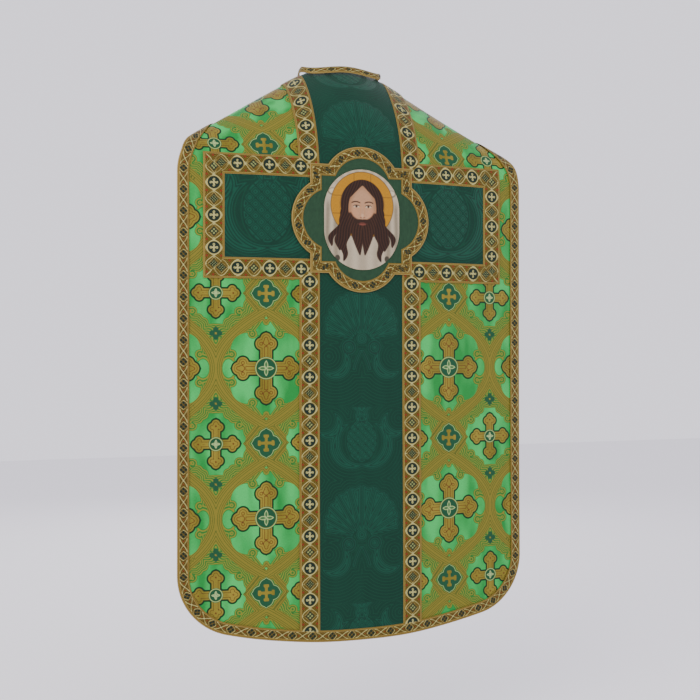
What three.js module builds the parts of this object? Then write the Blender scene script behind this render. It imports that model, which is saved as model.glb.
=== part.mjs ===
// A Roman ("fiddleback") chasuble as it hangs on its wearer.
// Millimetres.  X is the wearer's right, Y is forward, Z is up.  The origin is the point
// where the shoulder line meets the neck, midway between the two shoulders.
//
// Every cloth is a thin closed sheet laid on one hanging surface.  A place on that surface
// is (x, s): x across the wearer, and s the length of cloth from the shoulder ridge, plus
// down the back and minus down the front.  "level" is the height of a sheet above the
// inner face of the lining, measured square to the surface.

import * as THREE from 'three';

// ---- Driving dimensions -------------------------------------------------------------

const BACK_HALF_WIDTH = 350;
const BACK_DROP = 1106;
const BACK_CORNER_RADIUS = 115;
const HEM_ANGLE = THREE.MathUtils.degToRad(12.5);
const SHOULDER_CORNER_RADIUS = 110;
const SHOULDER_TIP_INSET = 32;

const FRONT_TOP_HALF = 190;
const FRONT_HEM_HALF = 250;
const FRONT_DROP = 950;
const FRONT_CORNER_RADIUS = 75;
const FRONT_WAIST_DROP = 360;
const FRONT_SWING = 45;
const SEAM_BELOW_NECK = 18;

const NECK_HALF_WIDTH = 80;
const NECK_BACK_CUT = 55;
const NECK_FRONT_CUT = 300;
const NECK_EDGE_UNDER_TRIM = 12;
const NECK_STAND_LEAN = THREE.MathUtils.degToRad(20);

const COLUMN_BESIDE_NECK = 4;
const BROCADE_BESIDE_CROSSBAR = 25;
const CROSSBAR_CENTRE_DROP = 302;
const CROSSBAR_INNER_HEIGHT = 154;

const WIDE_GALLOON = 39;
const NARROW_GALLOON = 22;
const CLOTH_UNDER_GALLOON = 20;

const MEDALLION_OVER_CORNER = 19;
const MEDALLION_LOBE_RADIUS = 80;
const MEDALLION_REACH = 139;
const PICTURE_SIDE_MARGIN = 5;
const PICTURE_END_MARGIN = 21;
const PICTURE_SIDE_HALF = 20;

const TIE_WIDTH = 20;
const TIE_LENGTH = 550;
const TIE_INSET = 60;
const TIE_TOP_DROP = 500;

const CLOTH_THICK = 0.8;
const INTERLINING_THICK = 1.2;
const GALLOON_THICK = 1;
const LAYER_GAP = 0.5;
const BUTT_GAP = 1;
const NECK_TRIM_GAP = 3.5;
const TIE_CLEARANCE = 2.4;

// The hanging surface: how it bends over the shoulders.
const SHOULDER_SLOPE = 0.68;
const NECK_ROUNDING = 60;
const NECK_POINT_HALF = 73;
const RIDGE_SETBACK = 75;
const RIDGE_SETBACK_AT = 300;
const BACK_DEPTH = 130;
const BACK_BOW = 23;
const FRONT_DEPTH = 88;
const FRONT_BOW = 28;
const FRONT_BOW_AT = 200;
const FRONT_FLARE = 0.09;
const RIDGE_PITCH = THREE.MathUtils.degToRad(35);
const RIDGE_ROUNDING = 0.04;

// ---- Sizes that follow from them ------------------------------------------------------

const SHOULDER_TIP_HALF = BACK_HALF_WIDTH - SHOULDER_TIP_INSET;
const COLUMN_HALF = NECK_HALF_WIDTH + COLUMN_BESIDE_NECK;
const COLUMN_OUT = COLUMN_HALF + WIDE_GALLOON;
const CROSSBAR_HALF_SPAN = BACK_HALF_WIDTH - NARROW_GALLOON - BROCADE_BESIDE_CROSSBAR;
const MEDALLION_SQUARE_HALF = COLUMN_HALF + MEDALLION_OVER_CORNER;
const PICTURE_HALF_WIDTH = MEDALLION_SQUARE_HALF - NARROW_GALLOON - PICTURE_SIDE_MARGIN;
const PICTURE_HALF_HEIGHT = MEDALLION_REACH - NARROW_GALLOON - PICTURE_END_MARGIN;

// ---- Layers, from the lining outwards -----------------------------------------------

function layerAbove(below, thickness, gap = LAYER_GAP) {
  const inner = below + gap;
  return { inner, outer: inner + thickness };
}

const LINING = { inner: 0, outer: CLOTH_THICK };
const INTERLINING = layerAbove(LINING.outer, INTERLINING_THICK);
const BROCADE = layerAbove(INTERLINING.outer, CLOTH_THICK);
const DAMASK = layerAbove(BROCADE.outer, CLOTH_THICK);
const TRIM = layerAbove(DAMASK.outer, GALLOON_THICK);
const MEDALLION = layerAbove(TRIM.outer, CLOTH_THICK);
const MEDALLION_TOP = layerAbove(MEDALLION.outer, GALLOON_THICK);
const NECK_TRIM = layerAbove(TRIM.outer, GALLOON_THICK, NECK_TRIM_GAP);
const TIE = { inner: -TIE_CLEARANCE - GALLOON_THICK, outer: -TIE_CLEARANCE };

// ---- The grid that every sheet shares -----------------------------------------------

// All sheets break along the same lines, so their facets stay parallel.
const FLANK_SHARES = [4 / 15, 13 / 20];
const FLANK_COLUMNS = FLANK_SHARES.map((share) => THREE.MathUtils
  .lerp(COLUMN_OUT, SHOULDER_TIP_HALF, share));
const PAST_EDGE = 2;
const HALF_COLUMNS = [COLUMN_HALF / 2, COLUMN_HALF, COLUMN_OUT, ...FLANK_COLUMNS,
  SHOULDER_TIP_HALF, BACK_HALF_WIDTH + PAST_EDGE];
const COLUMNS = [...HALF_COLUMNS.map((x) => -x).reverse(), 0, ...HALF_COLUMNS];
const BEND_ROWS = [10, 28, 55, 90, 135, 200, 300];
const LONGEST = 2 * BACK_DROP;
const ROWS = [-LONGEST, ...BEND_ROWS.map((s) => -s).reverse(), 0, ...BEND_ROWS, LONGEST];
const STRAIGHT_ROW = BEND_ROWS[BEND_ROWS.length - 1];

// ---- The bend over the shoulder -----------------------------------------------------

// Angle below level of the cloth at a share t of the bend: it turns quickly to the pitch of
// the shoulder, then evenly to hanging straight down.
function bendAngle(t) {
  const early = RIDGE_PITCH * (1 - Math.exp(-t / RIDGE_ROUNDING));
  return early + (Math.PI / 2 - RIDGE_PITCH) * t;
}

const BEND_STEPS = 200;
const bendTable = [{ out: 0, down: 0 }];
for (let k = 0; k < BEND_STEPS; k += 1) {
  const angle = bendAngle((k + 0.5) / BEND_STEPS);
  const last = bendTable[k];
  bendTable.push({
    out: last.out + Math.cos(angle) / BEND_STEPS,
    down: last.down + Math.sin(angle) / BEND_STEPS,
  });
}
const BEND_END = bendTable[BEND_STEPS];

// Length of cloth in a bend that reaches a horizontal distance "depth".
function bendLength(depth) {
  return depth / BEND_END.out;
}

// How far out and how far down the cloth is, a length along a bend of that depth.
function alongBend(depth, length) {
  const whole = bendLength(depth);
  if (length >= whole) {
    return { out: depth, down: BEND_END.down * whole + length - whole };
  }
  const place = (length / whole) * BEND_STEPS;
  const k = Math.min(Math.floor(place), BEND_STEPS - 1);
  const share = place - k;
  const a = bendTable[k];
  const b = bendTable[k + 1];
  return {
    out: whole * THREE.MathUtils.lerp(a.out, b.out, share),
    down: whole * THREE.MathUtils.lerp(a.down, b.down, share),
  };
}

function ridgeHeight(x) {
  const level = Math.hypot(NECK_POINT_HALF, NECK_ROUNDING);
  return SHOULDER_SLOPE * (level - Math.hypot(x, NECK_ROUNDING));
}

function ridgeForward(x) {
  return -RIDGE_SETBACK * (x / RIDGE_SETBACK_AT) ** 2;
}

function backDepth(x) {
  const panel = -BACK_DEPTH + BACK_BOW * (x / BACK_HALF_WIDTH) ** 2;
  return ridgeForward(x) - panel;
}

function frontDepth(x) {
  const panel = FRONT_DEPTH - FRONT_BOW * (x / FRONT_BOW_AT) ** 2;
  return panel - ridgeForward(x);
}

function surfacePoint(x, s) {
  const side = s >= 0 ? -1 : 1;
  const depth = s >= 0 ? backDepth(x) : frontDepth(x);
  const bend = alongBend(Math.max(depth, 1), Math.abs(s));
  const flare = s < 0 ? FRONT_FLARE * Math.max(-s - STRAIGHT_ROW, 0) : 0;
  const y = ridgeForward(x) + side * bend.out + flare;
  return new THREE.Vector3(x, y, ridgeHeight(x) - bend.down);
}

const PROBE = 0.5;
function runsAt(x, s) {
  return {
    across: surfacePoint(x + PROBE, s).sub(surfacePoint(x - PROBE, s)),
    along: surfacePoint(x, s + PROBE).sub(surfacePoint(x, s - PROBE)),
  };
}

function surfaceNormal(x, s) {
  const { across, along } = runsAt(x, s);
  return along.cross(across).normalize();
}

// ---- The faceted surface ------------------------------------------------------------

// Rows beyond the bends are straight, so the last row stands for any length.
const nodes = COLUMNS.map((x) => ROWS.map((s) => ({
  point: surfacePoint(x, s),
  normal: surfaceNormal(x, THREE.MathUtils.clamp(s, -STRAIGHT_ROW - 1, STRAIGHT_ROW + 1)),
})));

function intervalOf(lines, value) {
  let k = 0;
  while (k < lines.length - 2 && value > lines[k + 1]) {
    k += 1;
  }
  return { k, share: (value - lines[k]) / (lines[k + 1] - lines[k]) };
}

// Below the bends a cloth hangs straight down.  These are the lengths s at which the back and
// the front would reach height 0, taken at the columns and even between them, so that a level
// line on the cloth stays level on the facets.
const backLevels = COLUMNS.map((x) => ridgeHeight(x)
  + bendLength(backDepth(x)) * (1 - BEND_END.down));
const frontLevels = COLUMNS.map((x) => ridgeHeight(x)
  + bendLength(frontDepth(x)) * (1 - BEND_END.down));

function levelAt(levels, x) {
  const { k, share } = intervalOf(COLUMNS, x);
  return THREE.MathUtils.lerp(levels[k], levels[k + 1], share);
}

function backLengthTo(x, z) {
  return levelAt(backLevels, x) - z;
}

function frontLengthTo(x, z) {
  return z - levelAt(frontLevels, x);
}

// A point at a level above the faceted surface.  Each cell of the grid is two triangles, split
// from its inner corner at the low row, and the point lies flat in one of them.
function placed(x, s, level) {
  const column = intervalOf(COLUMNS, x);
  const row = intervalOf(ROWS, s);
  const onRight = COLUMNS[column.k] >= 0;
  const inner = onRight ? column.k : column.k + 1;
  const outer = onRight ? column.k + 1 : column.k;
  const u = onRight ? column.share : 1 - column.share;
  const v = row.share;
  const corner = (i, j) => {
    const node = nodes[i][row.k + j];
    return node.point.clone().addScaledVector(node.normal, level);
  };
  const start = corner(inner, 0);
  const end = corner(outer, 1);
  const middle = v <= u ? corner(outer, 0) : corner(inner, 1);
  const [first, second] = v <= u ? [u, v] : [v, u];
  const leg = middle.clone().sub(start).multiplyScalar(first);
  return start.add(leg).addScaledVector(end.sub(middle), second);
}

// ---- Flat tiles into closed sheets --------------------------------------------------

// The part of a convex polygon where a linear measure of (x, s) is not below zero.
function keptWhere(polygon, measure) {
  const kept = [];
  polygon.forEach((from, k) => {
    const to = polygon[(k + 1) % polygon.length];
    const a = measure(from);
    const b = measure(to);
    if (a >= 0) {
      kept.push(from);
    }
    if ((a > 0 && b < 0) || (a < 0 && b > 0)) {
      const share = a / (a - b);
      kept.push([0, 1].map((c) => THREE.MathUtils.lerp(from[c], to[c], share)));
    }
  });
  return kept;
}

function splitAt(polygons, axis, lines) {
  const parts = [];
  for (const polygon of polygons) {
    const values = polygon.map((p) => p[axis]);
    const low = Math.min(...values);
    const high = Math.max(...values);
    for (let k = 0; k < lines.length - 1; k += 1) {
      if (lines[k + 1] > low && lines[k] < high) {
        const above = keptWhere(polygon, (p) => p[axis] - lines[k]);
        parts.push(keptWhere(above, (p) => lines[k + 1] - p[axis]));
      }
    }
  }
  return parts;
}

// Each cell's share of a polygon, cut along the diagonal of that cell.  Below the bends the
// cells are flat and stay whole.
function splitAtDiagonals(polygons) {
  return polygons.flatMap((polygon) => {
    const middle = [0, 1].map((c) => polygon.reduce((sum, p) => sum + p[c], 0) / polygon.length);
    if (Math.abs(middle[1]) > STRAIGHT_ROW) {
      return [polygon];
    }
    const column = intervalOf(COLUMNS, middle[0]).k;
    const row = intervalOf(ROWS, middle[1]).k;
    const onRight = COLUMNS[column] >= 0;
    const measure = ([x, s]) => {
      const across = (x - COLUMNS[column]) / (COLUMNS[column + 1] - COLUMNS[column]);
      const along = (s - ROWS[row]) / (ROWS[row + 1] - ROWS[row]);
      const gap = along - (onRight ? across : 1 - across);
      return Math.abs(gap) < 1e-9 ? 0 : gap;
    };
    return [keptWhere(polygon, measure), keptWhere(polygon, (p) => -measure(p))];
  });
}

function signedArea(polygon) {
  return polygon.reduce((sum, [x, s], k) => {
    const [nextX, nextS] = polygon[(k + 1) % polygon.length];
    return sum + (x * nextS - nextX * s) / 2;
  }, 0);
}

const MERGE = 1e4;
const keyOf = ([x, s]) => `${Math.round(x * MERGE)},${Math.round(s * MERGE)}`;

function cellOf(polygon) {
  const [x, s] = [0, 1].map((c) => polygon.reduce((sum, p) => sum + p[c], 0) / polygon.length);
  const column = intervalOf(COLUMNS, x);
  const row = intervalOf(ROWS, s);
  const across = COLUMNS[column.k] >= 0 ? column.share : 1 - column.share;
  const half = Math.abs(s) > STRAIGHT_ROW || row.share > across ? 0 : 1;
  return `${column.k},${row.k},${half}`;
}

// Loops of the edges that are left when a cell's parts are joined.
function joinedLoops(parts) {
  const next = new Map();
  for (const loop of parts) {
    loop.forEach((from, k) => {
      const to = loop[(k + 1) % loop.length];
      const back = next.get(to);
      if (back?.has(from)) {
        back.delete(from);
      } else {
        next.set(from, (next.get(from) ?? new Set()).add(to));
      }
    });
  }
  const loops = [];
  for (const [start, ends] of next) {
    while (ends.size > 0) {
      const loop = [];
      let at = start;
      do {
        loop.push(at);
        const [to] = next.get(at);
        next.get(at).delete(to);
        at = to;
      } while (at !== start);
      loops.push(loop);
    }
  }
  return loops;
}

const STRAIGHT = 1e-3;
function turnsAt(spots, loop, k) {
  const [a, b, c] = [-1, 0, 1].map((step) => spots[loop.at((k + step) % loop.length)]);
  const run = [b[0] - a[0], b[1] - a[1]];
  const on = [c[0] - b[0], c[1] - b[1]];
  const size = Math.hypot(...run) * Math.hypot(...on);
  return Math.abs(run[0] * on[1] - run[1] * on[0]) > STRAIGHT * size;
}

// A closed sheet between two levels, made of convex tiles in (x, s) that share their edges.
function sheet(tiles, layer) {
  const spots = [];
  const spotOf = new Map();
  const cells = new Map();
  for (const part of splitAtDiagonals(splitAt(splitAt(tiles, 0, COLUMNS), 1, ROWS))) {
    const polygon = signedArea(part) < 0 ? [...part].reverse() : part;
    const named = polygon.map((spot) => {
      const key = keyOf(spot);
      if (!spotOf.has(key)) {
        spotOf.set(key, spots.length);
        spots.push(spot);
      }
      return spotOf.get(key);
    });
    const loop = named.filter((spot, k) => spot !== named.at(k - 1));
    if (loop.length > 2) {
      const cell = cellOf(polygon);
      cells.set(cell, [...(cells.get(cell) ?? []), loop]);
    }
  }

  // Inside a cell the parts lie in one plane, so a spot stays only where some loop turns.
  const joined = [...cells.values()].flatMap(joinedLoops);
  const corners = new Set();
  for (const loop of joined) {
    loop.filter((_, k) => turnsAt(spots, loop, k)).forEach((spot) => corners.add(spot));
  }
  const faces = joined.map((loop) => loop.filter((spot) => corners.has(spot)));
  const edges = new Set();
  for (const loop of faces) {
    loop.forEach((from, k) => edges.add(`${from}>${loop[(k + 1) % loop.length]}`));
  }

  const positions = [layer.inner, layer.outer].flatMap((level) => spots
    .flatMap(([x, s]) => placed(x, s, level).toArray()));
  const lift = spots.length;
  const index = [];
  for (const loop of faces) {
    const outline = loop.map((spot) => new THREE.Vector2(...spots[spot]));
    for (const triangle of THREE.ShapeUtils.triangulateShape(outline, [])) {
      const [a, b, c] = triangle.map((k) => loop[k]);
      index.push(a, b, c, a + lift, c + lift, b + lift);
    }
    loop.forEach((from, k) => {
      const to = loop[(k + 1) % loop.length];
      if (!edges.has(`${to}>${from}`)) {
        index.push(to, from, from + lift, to, from + lift, to + lift);
      }
    });
  }
  const geometry = new THREE.BufferGeometry();
  geometry.setAttribute('position', new THREE.Float32BufferAttribute(positions, 3));
  geometry.setIndex(index);
  return geometry;
}

// Tiles between two curves low(x) and high(x), over stations of x.
function tilesBetween(stations, low, high) {
  const tiles = [];
  for (let k = 0; k < stations.length - 1; k += 1) {
    const [a, b] = [stations[k], stations[k + 1]];
    tiles.push([[a, low(a)], [b, low(b)], [b, high(b)], [a, high(a)]]);
  }
  return tiles;
}

// Tiles between two matching rows of points.
function tilesAlong(outerEdge, innerEdge) {
  const tiles = [];
  for (let k = 0; k < outerEdge.length - 1; k += 1) {
    tiles.push([outerEdge[k], outerEdge[k + 1], innerEdge[k + 1], innerEdge[k]]);
  }
  return tiles;
}

const mirrored = (tiles) => tiles.map((tile) => tile.map(([x, s]) => [-x, s]));
const bothSides = (tiles) => [...tiles, ...mirrored(tiles)];

// A polygon drawn on the hanging back as (x, height) turned into tiles in (x, s).
function backTiles(polygon) {
  const strips = splitAt([polygon], 0, COLUMNS);
  return strips.map((strip) => strip.map(([x, z]) => [x, backLengthTo(x, z)]));
}

function frontTiles(polygon) {
  const strips = splitAt([polygon], 0, COLUMNS);
  return strips.map((strip) => strip.map(([x, z]) => [x, frontLengthTo(x, z)]));
}

// Stations of x from a to b: the grid's columns and evenly spaced ones where it curves.
function stationsBetween(a, b, extra = []) {
  const inside = [...COLUMNS, ...extra].filter((x) => x > a + 1 && x < b - 1);
  return [a, ...new Set(inside.sort((p, q) => p - q)), b];
}

// Stations crowded towards b, where an arc ends square to x.
function arcStations(a, b, count) {
  const list = [];
  for (let k = 0; k <= count; k += 1) {
    list.push(a + (b - a) * Math.sin((k / count) * (Math.PI / 2)));
  }
  return list;
}

// ---- Outline of the back, its shoulders and the front yoke ---------------------------

const CORNER_CENTRE_X = BACK_HALF_WIDTH - BACK_CORNER_RADIUS;
const HEM_END_X = CORNER_CENTRE_X + BACK_CORNER_RADIUS * Math.sin(HEM_ANGLE);
const HEM_RISE = (HEM_END_X * Math.tan(HEM_ANGLE)) / 2;
const CORNER_CENTRE_Z = -BACK_DROP + HEM_RISE + BACK_CORNER_RADIUS * Math.cos(HEM_ANGLE);

function hemHeight(x) {
  const across = Math.abs(x);
  if (across <= HEM_END_X) {
    return -BACK_DROP + HEM_RISE * (across / HEM_END_X) ** 2;
  }
  const reach = Math.min(across - CORNER_CENTRE_X, BACK_CORNER_RADIUS);
  return CORNER_CENTRE_Z - Math.sqrt(BACK_CORNER_RADIUS ** 2 - reach ** 2);
}

function hemLength(x) {
  return backLengthTo(x, hemHeight(x));
}

// The shoulder corner is an arc that ends on the ridge at the shoulder tip.
const SHOULDER_CENTRE_X = BACK_HALF_WIDTH - SHOULDER_CORNER_RADIUS;
function shoulderArcRise(x) {
  return Math.sqrt(Math.max(SHOULDER_CORNER_RADIUS ** 2 - (x - SHOULDER_CENTRE_X) ** 2, 0));
}

const SHOULDER_CENTRE_Z = levelAt(backLevels, SHOULDER_TIP_HALF)
  - shoulderArcRise(SHOULDER_TIP_HALF);

// The seam runs level across the chest, just below the point of the neck opening.
const FRONT_SEAM_DROP = NECK_FRONT_CUT + SEAM_BELOW_NECK - levelAt(frontLevels, 0);
function seamLength(x) {
  return frontLengthTo(x, -FRONT_SEAM_DROP);
}

// Forward of the ridge the edge swings in to the top of the front.
function upperEdge(x) {
  const across = Math.abs(x);
  if (across <= FRONT_TOP_HALF) {
    return seamLength(across);
  }
  if (across <= SHOULDER_TIP_HALF) {
    const span = SHOULDER_TIP_HALF - FRONT_TOP_HALF;
    const share = (SHOULDER_TIP_HALF - across) / span;
    const depth = -seamLength(FRONT_TOP_HALF) - FRONT_SWING;
    return -(FRONT_SWING * share + depth * (1 - Math.sqrt(1 - share ** 2)));
  }
  return backLengthTo(across, SHOULDER_CENTRE_Z + shoulderArcRise(across));
}

const SWING_STATIONS = arcStations(SHOULDER_TIP_HALF, FRONT_TOP_HALF, 5).reverse();
const SHOULDER_STATIONS = arcStations(SHOULDER_TIP_HALF, BACK_HALF_WIDTH, 3);
const CORNER_STATIONS = arcStations(HEM_END_X, BACK_HALF_WIDTH, 6);

// ---- Neck opening -------------------------------------------------------------------

// The front of the neck line is a superellipse, drawn to a point at its foot.
const NECK_FRONT_ROUNDING = 1.6;
const NECK_FRONT_POINT = 0.83;

// Half width of the neck line, drawn in by "inset", at a length s from the ridge.
function neckHalfAt(s, inset) {
  const half = NECK_HALF_WIDTH - inset;
  if (s >= 0) {
    return half * Math.sqrt(Math.max(1 - (s / (NECK_BACK_CUT - inset)) ** 2, 0));
  }
  const share = Math.min(-s / (NECK_FRONT_CUT - inset), 1);
  return half * (1 - share ** NECK_FRONT_ROUNDING) ** NECK_FRONT_POINT;
}

// The same line as a length at a given x, behind and before the ridge.
function neckBackAt(x, inset) {
  const share = Math.min(Math.abs(x) / (NECK_HALF_WIDTH - inset), 1);
  return (NECK_BACK_CUT - inset) * Math.sqrt(1 - share ** 2);
}

function neckFrontAt(x, inset) {
  const share = Math.min(Math.abs(x) / (NECK_HALF_WIDTH - inset), 1);
  const rise = (1 - share ** (1 / NECK_FRONT_POINT)) ** (1 / NECK_FRONT_ROUNDING);
  return -(NECK_FRONT_CUT - inset) * rise;
}

// ---- Cloths of the back -------------------------------------------------------------

// One width of cloth from the hem over the shoulders to the front seam, round the neck.
const NECK_STATION_SHARES = [0.3, 0.85];
function backClothTiles(halfWidth) {
  const neckEdge = NECK_HALF_WIDTH - NECK_EDGE_UNDER_TRIM;
  const neckStations = stationsBetween(0, neckEdge,
    NECK_STATION_SHARES.map((share) => share * neckEdge));
  const wide = halfWidth > FRONT_TOP_HALF;
  const outer = wide
    ? [...SWING_STATIONS, ...SHOULDER_STATIONS, ...CORNER_STATIONS] : [];
  const stations = stationsBetween(neckEdge, halfWidth, outer);
  const inset = NECK_EDGE_UNDER_TRIM;
  return bothSides([
    ...tilesBetween(neckStations, upperEdge, (x) => neckFrontAt(x, inset)),
    ...tilesBetween(neckStations, (x) => neckBackAt(x, inset), hemLength),
    ...tilesBetween(stations, upperEdge, hemLength),
  ]);
}

// ---- Front panel --------------------------------------------------------------------

function frontHalfAt(drop) {
  const share = THREE.MathUtils.smoothstep(drop, FRONT_WAIST_DROP, FRONT_DROP);
  return THREE.MathUtils.lerp(FRONT_TOP_HALF, FRONT_HEM_HALF, share);
}

// The edge of the front panel from its seam down to the middle of its hem.
function frontEdgePoints() {
  const points = [];
  const top = FRONT_SEAM_DROP + BUTT_GAP;
  const sideEnd = FRONT_DROP - FRONT_CORNER_RADIUS;
  const SIDE_STEPS = 6;
  for (let k = 0; k <= SIDE_STEPS; k += 1) {
    const drop = THREE.MathUtils.lerp(top, sideEnd, k / SIDE_STEPS);
    points.push([frontHalfAt(drop), -drop]);
  }
  const centreX = frontHalfAt(sideEnd) - FRONT_CORNER_RADIUS;
  const CORNER_STEPS = 6;
  for (let k = 1; k <= CORNER_STEPS; k += 1) {
    const turn = (k / CORNER_STEPS) * (Math.PI / 2);
    points.push([centreX + FRONT_CORNER_RADIUS * Math.cos(turn),
      -sideEnd - FRONT_CORNER_RADIUS * Math.sin(turn)]);
  }
  return points;
}

function frontClothTiles(halfWidth) {
  const edge = frontEdgePoints();
  const tiles = [];
  for (let k = 0; k < edge.length - 1; k += 1) {
    const [a, b] = [edge[k], edge[k + 1]];
    const [aHalf, bHalf] = [Math.min(a[0], halfWidth), Math.min(b[0], halfWidth)];
    tiles.push(...frontTiles([[0, a[1]], [aHalf, a[1]], [bHalf, b[1]], [0, b[1]]]));
  }
  return bothSides(tiles);
}

// ---- Galloons -----------------------------------------------------------------------

// A point moved inward by a width, square to the edge as measured on the cloth itself.
function movedInward([x, s], [dx, ds], width) {
  const { across, along } = runsAt(x, s);
  const xx = across.dot(across);
  const xs = across.dot(along);
  const ss = along.dot(along);
  const normal = [-(xs * dx + ss * ds), xx * dx + xs * ds];
  const [nx, ns] = normal;
  const size = Math.sqrt(xx * nx * nx + 2 * xs * nx * ns + ss * ns * ns);
  return [x + (width * nx) / size, s + (width * ns) / size];
}

// A strip of even width just inside an edge, given as points in (x, s).
function stripTiles(edge, width) {
  const inner = edge.map((point, k) => {
    const before = edge[Math.max(k - 1, 0)];
    const after = edge[Math.min(k + 1, edge.length - 1)];
    const run = [after[0] - before[0], after[1] - before[1]];
    const moved = movedInward(point, run, width);
    const atCentre = k === edge.length - 1;
    const atSeam = k === 0;
    const x = atCentre ? 0 : moved[0];
    return atSeam ? [x, point[1]] : [x, moved[1]];
  });
  return tilesAlong(edge, inner);
}

function backBorderTiles() {
  const edge = [
    ...SWING_STATIONS.map((x) => [x, upperEdge(x)]),
    ...SHOULDER_STATIONS.slice(1).map((x) => [x, upperEdge(x)]),
    ...[...CORNER_STATIONS].reverse().map((x) => [x, hemLength(x)]),
    ...stationsBetween(0, HEM_END_X).reverse().slice(1).map((x) => [x, hemLength(x)]),
  ];
  return bothSides(stripTiles(edge, NARROW_GALLOON));
}

function frontBorderTiles() {
  const edge = frontEdgePoints().map(([x, z]) => [x, frontLengthTo(x, z)]);
  const hem = stationsBetween(0, frontEdgePoints().at(-1)[0]).reverse().slice(1);
  const all = [...edge, ...hem.map((x) => [x, frontLengthTo(x, -FRONT_DROP)])];
  return bothSides(stripTiles(all, NARROW_GALLOON));
}

// The two long edges of the cross's galloon, and the corners where its strips are mitred.
const ARM_IN = CROSSBAR_HALF_SPAN - WIDE_GALLOON;
const TOP_IN = -CROSSBAR_CENTRE_DROP + CROSSBAR_INNER_HEIGHT / 2;
const TOP_OUT = TOP_IN + WIDE_GALLOON;
const BOTTOM_IN = -CROSSBAR_CENTRE_DROP - CROSSBAR_INNER_HEIGHT / 2;
const BOTTOM_OUT = BOTTOM_IN - WIDE_GALLOON;

function columnUpperTiles() {
  const stations = [COLUMN_HALF, COLUMN_OUT];
  const foot = [[COLUMN_HALF, TOP_IN + BUTT_GAP], [COLUMN_OUT, TOP_OUT + BUTT_GAP]];
  const footLength = (x) => backLengthTo(x, x === COLUMN_HALF ? foot[0][1] : foot[1][1]);
  return tilesBetween(stations, (x) => seamLength(x), footLength);
}

function columnLowerTiles() {
  const stations = [COLUMN_HALF, COLUMN_OUT];
  const head = (x) => backLengthTo(x, x === COLUMN_HALF
    ? BOTTOM_IN - BUTT_GAP : BOTTOM_OUT - BUTT_GAP);
  return tilesBetween(stations, head, (x) => hemLength(x) - NARROW_GALLOON - BUTT_GAP);
}

function armTopTiles() {
  return backTiles([[COLUMN_HALF, TOP_IN], [ARM_IN - BUTT_GAP, TOP_IN],
    [CROSSBAR_HALF_SPAN - BUTT_GAP, TOP_OUT], [COLUMN_OUT, TOP_OUT]]);
}

function armEndTiles() {
  return backTiles([[ARM_IN, TOP_IN], [CROSSBAR_HALF_SPAN, TOP_OUT],
    [CROSSBAR_HALF_SPAN, BOTTOM_OUT], [ARM_IN, BOTTOM_IN]]);
}

function armBottomTiles() {
  return backTiles([[COLUMN_HALF, BOTTOM_IN], [COLUMN_OUT, BOTTOM_OUT],
    [CROSSBAR_HALF_SPAN - BUTT_GAP, BOTTOM_OUT], [ARM_IN - BUTT_GAP, BOTTOM_IN]]);
}

function armDamaskTiles() {
  const left = COLUMN_HALF + CLOTH_UNDER_GALLOON + BUTT_GAP;
  const right = ARM_IN + CLOTH_UNDER_GALLOON;
  const [top, bottom] = [TOP_IN + CLOTH_UNDER_GALLOON, BOTTOM_IN - CLOTH_UNDER_GALLOON];
  return backTiles([[left, bottom], [right, bottom], [right, top], [left, top]]);
}

function frontColumnGalloonTiles() {
  const top = -FRONT_SEAM_DROP - BUTT_GAP;
  const bottom = -FRONT_DROP + NARROW_GALLOON + BUTT_GAP;
  return frontTiles([[COLUMN_HALF, bottom], [COLUMN_OUT, bottom], [COLUMN_OUT, top],
    [COLUMN_HALF, top]]);
}

// The neck galloon stands up round the back and sides of the neck and lies flat in front.
function neckGalloon() {
  const STEPS = 40;
  const FLAT_FROM = 90;
  const rings = [];
  for (let k = 0; k < STEPS; k += 1) {
    const turn = (k / STEPS) * Math.PI * 2;
    const cut = Math.cos(turn) >= 0 ? NECK_BACK_CUT : NECK_FRONT_CUT;
    const s = cut * Math.cos(turn);
    const side = Math.sign(Math.sin(turn));
    const x = Math.abs(Math.sin(turn)) < 1e-6 ? 0 : side * neckHalfAt(s, 0);
    const innerCut = cut - NARROW_GALLOON;
    const innerS = innerCut * Math.cos(turn);
    const innerX = x === 0 ? 0 : side * neckHalfAt(innerS, NARROW_GALLOON);
    const standing = THREE.MathUtils.smoothstep(s, -FLAT_FROM, 0);
    const foot = surfacePoint(x, s);
    const flatTop = surfacePoint(innerX, innerS);
    const inward = new THREE.Vector3(flatTop.x - foot.x, flatTop.y - foot.y, 0).normalize();
    const rise = new THREE.Vector3(0, 0, Math.cos(NECK_STAND_LEAN))
      .addScaledVector(inward, Math.sin(NECK_STAND_LEAN));
    const standTop = foot.clone().addScaledVector(rise, NARROW_GALLOON);
    const top = flatTop.lerp(standTop, standing);
    const face = surfaceNormal(x, s);
    const topFace = surfaceNormal(innerX, innerS)
      .lerp(inward.clone().negate(), standing).normalize();
    rings.push([[foot, face, NECK_TRIM.inner], [top, topFace, NECK_TRIM.inner],
      [top, topFace, NECK_TRIM.outer], [foot, face, NECK_TRIM.outer]]
      .map(([point, normal, level]) => point.clone().addScaledVector(normal, level)));
  }
  const positions = rings.flat().flatMap((point) => point.toArray());
  const index = [];
  for (let k = 0; k < STEPS; k += 1) {
    for (let j = 0; j < 4; j += 1) {
      const a = k * 4 + j;
      const b = k * 4 + ((j + 1) % 4);
      const c = ((k + 1) % STEPS) * 4 + ((j + 1) % 4);
      const d = ((k + 1) % STEPS) * 4 + j;
      index.push(a, b, c, a, c, d);
    }
  }
  const geometry = new THREE.BufferGeometry();
  geometry.setAttribute('position', new THREE.Float32BufferAttribute(positions, 3));
  geometry.setIndex(index);
  return geometry;
}

// ---- Medallion ----------------------------------------------------------------------

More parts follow.
